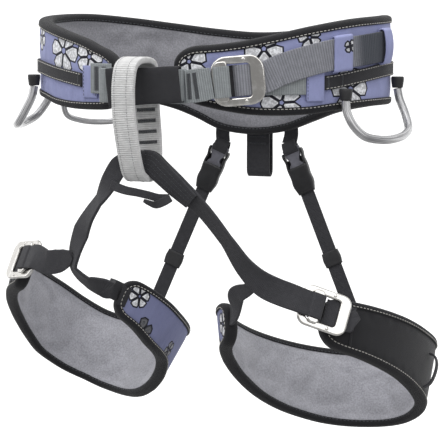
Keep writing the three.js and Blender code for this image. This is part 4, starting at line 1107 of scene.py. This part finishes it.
def makeLeg(word, leg):
    p, side, body = legPadding, leg["side"], f"leg_{word}"
    tag = word.title()
    spin = turned(2, -side * p["turn"]) @ turned(1, -side * leg["roll"]) @ turned(0, -p["pitch"])
    centre = (side * (leg["inner"] + leg["halfSide"]), p["frontAt"] + p["halfFront"], leg["level"])
    hoop = Hoop(side, leg["halfSide"], p["halfFront"], p["flare"], spin, centre)
    pad = Pad(hoop, leg["from"], p["end"], p["nose"], leg["top"], leg["bottom"])
    blooms = [[float(hoop.far(f[0])), *f[1:]] for f in leg["flowers"]]
    # the legs' violet is a darker copy (0.72) of the belt's violet: painted shade
    cloth = violetFinish("legCloth" + tag, blooms, 0.72)
    inset, join = p["binding"] - 2.0, float(hoop.far(185))
    for name, node, face, back, crown, cap, look, slot, ends in (
            ("legLining", "leg_lining", -p["shell"] + 0.2, -0.25, -0.8, 2.0, finish["lining"], "lining_grey", None),
            ("lateralPanel", "lateral_panel", p["shell"] - 0.35, 0.25, 0.15, 0.5, finish["panel"], "web_black",
             (pad.start + inset + 0.02, join)),
            ("legShell", "leg_shell", p["shell"] - 0.35, 0.25, 0.15, 0.5, cloth, "fabric_violet",
             (join, pad.end - inset - 0.02))):
        piece, far, height = padSkin(name + tag, pad, inset, face, back, crown, 19, 3.4, *(ends or ()))
        columns = height.shape[1]
        pinned = np.ones((len(far), 2 * columns), bool)
        pinned[2:-2, 2:columns - 2] = False
        puff(piece, pinned.ravel(), cap)
        smoother(piece)
        nodes = [f"{node}_{word}"] + ([f"leg_foam_{word}"] if face < 0 else [])
        dress(piece, look, body, slot, *nodes)
    dress(bindingRoll("legBinding" + tag, pad, p["binding"], p["bindingOut"], p["lip"]), finish["binding"], body,
          "binding_black", f"leg_binding_{word}")
    dress(rimStitches("legStitching" + tag, pad, p["binding"] - 1.1, p["bindingOut"] - 0.05), finish["thread"],
          body, "web_pale")
    dress(rimStitches("legStitchingInside" + tag, pad, p["binding"] - 1.1, -p["bindingOut"] + 0.05),
          finish["darkThread"], body, "web_black")
    # narrow tapes over the padding's seams
    seams = [("panelSeam", leg["seam"], 2.2, "panel"), ("backSeam", 185, 5.0, "binding")]
    for name, angle, width, look in seams:
        ends = [float(hoop.angle(hoop.far(angle) + s * width / 2)) for s in (-1, 1)]
        low, high = pad.edges(np.array([hoop.far(angle)]), p["binding"] - 0.5)
        level, half = float(low[0] + high[0]) / 2, float(high[0] - low[0]) / 2
        piece = hoopStrip(name + tag, hoop, *ends, lambda a: level + 0 * a, half, p["shell"] - 0.5,
                          p["shell"] + 0.6, 0.4, 0.5)
        dress(piece, finish[look], body, "web_black")
    if leg["cover"]:
        low, high = pad.edges(np.array([hoop.far(leg["cover"][0] + 2)]), p["binding"] - 1)
        level, half = float(low[0] + high[0]) / 2, float(high[0] - low[0]) / 2
        piece = hoopStrip("endCover" + tag, hoop, *leg["cover"], lambda a: level + 0 * a, half, p["shell"] - 0.5,
                          p["shell"] + 0.9, 0.6, 0.5)
        dress(piece, finish["blackTape"], body, "web_black")

    # buckle
    angle, level, tilt = leg["buckle"]
    normal = hoop.facing(angle)
    place = hoop.at(angle, level, p["shell"] + 7)
    along = unit(unit(hoop.at(angle + 4, level, 0) - hoop.at(angle - 4, level, 0)) + [0, 0, tilt])
    seat = Seat(place, along, normal)
    frameSize = {"length": 38, "across": 31, "corner": 7.5, "thick": 2.8, "window": (23, 20.5), "shift": -1.0,
                 "at": (0.5, 0, 0)}
    makeBuckle("legBuckle" + tag, seat, frameSize, 8, 6.5, (f"leg_buckle_frame_{word}", f"leg_buckle_slider_{word}"),
               (body, f"leg_slider_{word}"), 18.6, "blackWeb", "web_black")
    route = strapRoute([(seat([1.5, 0, -2.6]), normal, 19.4, 1.8), (seat([9, 0, -1.9]), normal, 19.4, 1.8),
                        (seat([16.5, 0, -2.4]), normal, 18.6, 1.6), (seat([20.5, 0, -2.9]), normal, 18.6, 1.6),
                        (hoop.at(angle + 11, level - 1, p["shell"] + 1.6), hoop.facing(angle + 11), 18.6, 1.6),
                        (hoop.at(angle + 17, level - 2, p["shell"] + 1.2), hoop.facing(angle + 17), 18.6, 1.6)],
                       50)
    dress(webbing("legBuckleWeb" + tag, *route), finish["blackWeb"], body, "web_black")
    dress(barTack("legBuckleTack" + tag, hoop.at(angle + 14.5, level - 2, p["shell"] + 2.1),
                  hoop.at(angle + 16, level, 0) - hoop.at(angle + 14, level, 0), hoop.facing(angle + 14.5), 2.6, 15),
          finish["darkThread"], body, "web_black")

    # straps from the tie-in
    toBuckle = [(seat([-22, 0, 4]), normal, 19, 2.6), (seat([-6.5 - 4 - 0.3, 0, 3.5]), normal, 18.6, 2.2)]
    toPad = [(hoop.at(349, leg["padEnd"], 1.5), hoop.facing(345), 15, 2.2),
             (hoop.at(342, leg["padEnd"], 0.5), hoop.facing(342), 15, 2.0)]
    longEnd, shortEnd = (toBuckle, toPad) if side > 0 else (toPad, toBuckle)
    ahead = np.array([0, -1.0, 0])
    front = [((x, legFrontY + back, z), ahead, width, 2.4, twist) for x, back, z, width, twist in leg["front"]]
    branch = [((x, legFrontY + back, z), ahead, width, 2.2, twist) for x, back, z, width, twist in leg["branch"]]
    front, branch = front + longEnd, branch + shortEnd
    for name, node, stations, count in (("frontStrap", "front_strap", front, 300),
                                        ("branchStrap", "branch_strap", branch, 120)):
        line, face, width, thick = strapRoute(stations, count)
        moves = ("waist", body, line[count // 60], line[count // 5]) if name == "frontStrap" and side > 0 else body
        dress(webbing(name + tag, line, face, width, thick, 0, 0, 0.7, 11), finish["blackWeb"], moves, "web_black",
              f"{node}_{word}")
        if name == "frontStrap" and side > 0:   # a second layer, sewn on from the tie-in to a stepped end
            through = unit(np.cross(unit(np.gradient(line, axis=0)), unit(np.cross(face, np.gradient(line, axis=0)))))
            n = 88
            over = line[:n] + through[:n] * 2.2
            dress(webbing("strapLayer", over, face[:n], width[:n] - 0.6, 2.0, 0, 0, 0.6, 11), finish["blackWeb"],
                  moves, "web_black")
            rows = []
            for offset in (-5, -1.7, 1.7, 5):
                across = unit(np.cross(face[:n], np.gradient(line[:n], axis=0)))
                rows.append(stitches("row", over[4:] + across[4:] * offset + through[4:n] * 1.0, through[4:n], 2.4, 1.8,
                                     0.2))
            dress(joinPieces("strapLayerStitching", rows), finish["darkThread"], moves, "web_black")

    # riser: web from the belt, side release clip, elastic strap down to the padding's back
    r = riserSize
    top = np.array([leg["riserX"], r["topY"], r["topZ"]])
    foot = hoop.at(r["angle"], -14, p["bindingOut"] + 1.4)
    brow = hoop.at(r["angle"], 2, p["bindingOut"] + 1.6)
    clipAt = top + [side * 4.5, -3, -28.5]
    down = unit(brow - clipAt)
    back = np.array([0, 1.0, 0])
    stations = [(q, back, r["width"], r["thick"]) for q in (
        top, top + [side * 0.8, -0.4, -9], clipAt - down * (r["plug"] / 2 + 3.6))]
    dress(webbing("riserWeb" + tag, *strapRoute(stations, 60)), finish["blackWeb"], body, "web_black",
          f"riser_web_{word}")
    across = unit(np.cross(back, down))
    clip = Seat(clipAt, -across, unit(np.cross(across, down)))
    clip.y = -down
    makeClip(word, tag, clip, body)
    drop = np.array([clipAt + down * (r["plug"] / 2 + 16), clipAt * 0.45 + brow * 0.55, clipAt * 0.15 + brow * 0.85,
                     brow - down * 4, brow, foot])
    stations = [(q, hoop.facing(r["angle"]) if k > 3 else back, r["width"], r["thick"]) for k, q in enumerate(drop)]
    line, face, width, thick = strapRoute(stations, 160)
    dress(webbing("riserStrap" + tag, line, face, width, thick, 1.2, 0.12, 0.5, 9), finish["elastic"], body,
          "web_black", f"riser_strap_{word}")
    band = Seat(clipAt + (brow - clipAt) * leg["keeper"], clip.x, clip.z)
    band.y = clip.y
    ring = roundBox(r["width"] / 2 + 1.5, 1.9, 1.2, 6)
    levels = np.linspace(6, -6, 13)
    swell = 1 + 0.04 * np.cos(levels / 6 * math.pi)
    outer = np.stack([np.stack([ring[:, 0] * s, np.full(len(ring), y), ring[:, 1] * s], -1)
                      for y, s in zip(levels, swell)])
    inner = outer * [0.86, 1, 0.62]
    both = band(np.concatenate([outer, inner[::-1]]))
    uv = np.stack(np.broadcast_arrays(np.concatenate([levels, levels[::-1]])[:, None], ring[None, :, 0]), -1)
    dress(sweep("riserKeeper" + tag, both, True, uv), finish["rubber"], f"riser_keeper_{word}", "web_black",
          f"riser_keeper_{word}")

    # tool loop on the outer thigh
    out = p["shell"] + 1
    footLevel = float(pad.bottom(118)) + p["binding"] + 1.5
    stations = [(hoop.at(118, footLevel + rise, out + lift), hoop.facing(118), 5, 1.4)
                for rise, lift in ((26, 0.3), (24.5, 4), (19, 7), (10, 7), (3, 4.5), (0, 0.3))]
    dress(webbing("toolLoop" + tag, *strapRoute(stations, 90)), finish["blackWeb"], body, "web_black",
          f"tool_loop_{word}")


# a side release clip in its own frame: x across, y up, z out of its face
def makeClip(word, tag, clip, body):
    # the plug: a slotted head, a waist, a centre guide and two sprung arms
    head = [[6.6, 9.2], [7.3, 8.4], [7.1, 5.5], [6.0, 1.6], [4.3, -1.6], [4.1, -3.6], [6.2, -6.2], [6.9, -9]]
    outline = smoothLine([[*q, 0] for q in head], 40)[:, :2]
    tips = np.array([[6.6, -9.6], [6.6, -20], [4.0, -20], [3.6, -10], [2.2, -10], [2.0, -21]])
    right = np.vstack([outline, tips])
    full = np.vstack([right, (right * [-1, 1])[::-1]])
    full = full[::-1]
    piece = slab("clipPlug" + tag, full, 3.4, 0.45, lambda q: clip(q), None, 4)
    dress(piece, finish["clipGrey"], body, "clip_grey", f"clip_plug_{word}")
    stations = [(clip([0, 14.5, 0.6]), clip.z, 12, 1.6), (clip([0, 11, 2.3]), clip.z, 12.4, 1.6),
                (clip([0, 7.5, 2.6]), clip.z, 12.6, 1.6), (clip([0, 4.4, 1.2]), clip.z, 12.6, 1.6)]
    front = webbing("wrap", *strapRoute(stations, 40))
    stations = [(clip([0, 14.5, -0.4]), clip.z, 12, 1.6), (clip([0, 11, -2.3]), clip.z, 12.4, 1.6),
                (clip([0, 7.5, -2.6]), clip.z, 12.6, 1.6), (clip([0, 4.4, -1.2]), clip.z, 12.6, 1.6)]
    rear = webbing("wrap", *strapRoute(stations, 40))
    dress(joinPieces("clipWrap" + tag, [front, rear]), finish["blackWeb"], body, "web_black")
    # the socket: a flattened sleeve with side windows suggested by deep notches in its flanks
    y = np.array([-7.6, -8.0, -9.5, -13, -15.5, -18, -20.5, -23.5, -26.5, -29, -30.3])
    wide = np.array([8.4, 8.8, 9.0, 8.7, 8.5, 8.7, 9.0, 8.8, 8.0, 7.4, 7.2])
    deep = np.array([3.1, 3.4, 3.5, 3.5, 3.5, 3.5, 3.5, 3.4, 3.0, 2.6, 2.3])
    outer = np.stack([np.column_stack([(q := roundBox(w, d, min(1.8, d * 0.8), 6))[:, 0], np.full(24, h), q[:, 1]])
                      for h, w, d in zip(y, wide, deep)])
    inner = np.stack([np.column_stack([(q := roundBox(w - 1.5, max(d - 1.3, 1.3), 0.8, 6))[:, 0], np.full(24, h),
                                       q[:, 1]]) for h, w, d in zip(y, wide, deep)])
    pieces = [sweep("socket", clip(np.concatenate([outer, inner[::-1]])), True)]
    # two rails reach up beside the plug, and a plate behind its waist joins them
    y = np.array([-10, -6, -2, 0, 2.5, 5, 6.2])
    for side in (-1, 1):
        x = side * np.array([8.0, 8.0, 7.6, 7.9, 8.3, 8.3, 8.0])
        ring = roundBox(0.9, 2.6, 0.6, 4)
        rail = np.stack([np.column_stack([x[k] + ring[:, 0], np.full(len(ring), y[k]), ring[:, 1] * (0.8 if k in (
            2, 3, 6) else 1)]) for k in range(len(y))])
        pieces.append(sweep("rail", clip(rail)))
    pieces.append(slab("plate", roundBox(7.6, 5.0, 1.2, 4) + [0, -4.6], 0.9, 0.3,
                       lambda q: clip(q + np.array([0, 0, -2.6]))))
    dress(joinPieces("clipSocket" + tag, pieces), finish["clipBlack"], f"clip_socket_{word}", "clip_black",
          f"clip_socket_{word}")


# the doubled webbing in the belay loop's foot, and the thin strap that crosses in front of it
def makeTieInFoot():
    layers = []
    for shift in (-2.6, 2.0):
        stations = [((-19.6, legFrontY + shift, -69.2), (0, -1, 0), 14, 2.6),
                    ((-12, legFrontY + shift, -68.2), (0, -1, 0), 16.5, 2.8),
                    ((-3.4, legFrontY + shift, -68.6), (0, -1, 0), 16, 2.6)]
        layers.append(webbing("layer", *strapRoute(stations, 40)))
    dress(joinPieces("legTieIn", layers), finish["blackWeb"], "waist", "web_black", "leg_tie_in")
    stations = [((x, y, z), (0, -1, 0), w, 1.2, twist) for x, y, z, w, twist in (
        (-29.5, -125, -85.5, 7, 0), (-17.2, -127, -88.9, 6.4, 20), (-7.7, -127, -90.3, 6, 0),
        (0.8, -126, -92.0, 6, 0), (8.3, -124.5, -93.8, 6, 0), (15.1, -121.5, -94.0, 6, 20))]
    fold = [((x, y, z), (0, -1, 0), w, 1.2, twist) for x, y, z, w, twist in (
        (17, -122.6, -93.5, 6, 0), (13.1, -124.8, -96.0, 6.5, 0), (6.9, -127, -98.6, 6, 20),
        (2.5, -128.2, -97.4, 5, 30), (-1.9, -128, -95.8, 2.6, 0))]
    strap = webbing("strap", *strapRoute(stations, 100))
    end = webbing("end", *strapRoute(fold, 60))
    dress(joinPieces("crossStrap", [strap, end]), finish["blackWeb"], "waist", "web_black", "cross_strap")


makeTieInFoot()
for word, leg in legs.items():
    makeLeg(word, leg)
    print(word, "leg made")


# stage
# a round floor whose rim curves up all round; the camera looks down a little from the front
def makeStage():
    s = {"floorDrop": 0.30, "flat": 3.6, "bend": 1.4, "wall": 2.2, "azimuth": 22.0, "elevation": 6.0,
         "distance": 1.6, "lens": 168.9, "target": (0.0098, -0.00976, -0.121), "worldLight": 0.7,
         "fade": (0.2, 1.3), "frontGlow": 0.16}
    turn = np.radians(np.linspace(0, 90, 13))
    level = cadBox[0].z - s["floorDrop"]
    reach = np.concatenate([[0.02, s["flat"]], s["flat"] + s["bend"] * np.sin(turn[1:]), [s["flat"] + s["bend"]]])
    rise = np.concatenate([[0, 0], s["bend"] * (1 - np.cos(turn[1:])), [s["bend"] + s["wall"]]]) + level
    around = np.linspace(0, 2 * math.pi, 64, endpoint=False)
    points = np.stack([np.outer(reach, np.cos(around)), np.outer(reach, np.sin(around)),
                       np.outer(rise, np.ones(64))], -1).reshape(-1, 3)
    mesh = bpy.data.meshes.new("floor")
    mesh.from_pydata(points.tolist(), [], gridFaces(len(reach), 64, closeColumns=True) + [list(range(64))])
    mesh.polygons.foreach_set("use_smooth", np.full(len(mesh.polygons), True))
    floor = bpy.data.objects.new("floor", mesh)
    bpy.context.scene.collection.objects.link(floor)
    r = Recipe("floor")
    split = r.node("ShaderNodeSeparateXYZ", None, r.place())
    x, y = split, Value(r, split.socket.node.outputs[1])
    # the floor glows evenly white behind the harness as a backdrop, and dims to a grey glow in front of and beneath it:
    # a painted shadow on the floor, which also cuts the light from below
    behind = (x * -0.37 + y * 0.93).step(*s["fade"])
    glow = r.mix(behind, (s["frontGlow"],) * 3, (1.0, 1.0, 1.0))
    r.finish((0.25, 0.25, 0.25), 0.95)
    r.feed(r.shader.inputs["Emission Color"], glow)
    r.shader.inputs["Emission Strength"].default_value = 1.0
    mesh.materials.append(r.material)
    a, e = math.radians(s["azimuth"]), math.radians(s["elevation"])
    back = np.array([math.sin(a) * math.cos(e), -math.cos(a) * math.cos(e), math.sin(e)])
    camera = bpy.data.objects.new("camera", bpy.data.cameras.new("camera"))
    camera.data.sensor_width, camera.data.lens, camera.data.clip_end = 36, s["lens"], 100
    camera.matrix_world = facingMatrix(np.array(s["target"]) + back * s["distance"], back)
    bpy.context.scene.collection.objects.link(camera)
    bpy.context.scene.camera = camera
    # place, size in metres and power of each soft lamp
    lamps = {"key": ((-0.5, -1.8, 1.5), 2.0, 20), "above": ((0.0, -0.1, 2.2), 2.6, 36),
             "left": ((-2.0, -0.6, 0.4), 1.2, 5), "right": ((1.8, -1.2, 0.9), 1.7, 13)}
    for name, (place, size, power) in lamps.items():
        lamp = bpy.data.lights.new(name, "AREA")
        lamp.size, lamp.energy = size, power
        light = bpy.data.objects.new(name, lamp)
        light.matrix_world = facingMatrix(np.array(place), unit(np.array(place) - [0, 0, -0.1]))
        bpy.context.scene.collection.objects.link(light)
    world = bpy.data.worlds.new("studio")
    world.use_nodes = True
    world.node_tree.nodes["Background"].inputs[0].default_value = (1, 1, 1, 1)
    world.node_tree.nodes["Background"].inputs[1].default_value = s["worldLight"]
    bpy.context.scene.world = world
    bpy.context.scene.view_settings.view_transform = "Standard"
    bpy.context.scene.view_settings.look = "None"


# a place and turn whose own Z looks back along one direction, with X level
def facingMatrix(place, back):
    right = unit(np.cross(up, back) + np.array([1e-9, 0, 0]))
    pose = np.eye(4)
    pose[:3, 0], pose[:3, 1], pose[:3, 2], pose[:3, 3] = right, np.cross(back, right), back, place
    return Matrix(pose.tolist())


makeStage()
print("stage made")
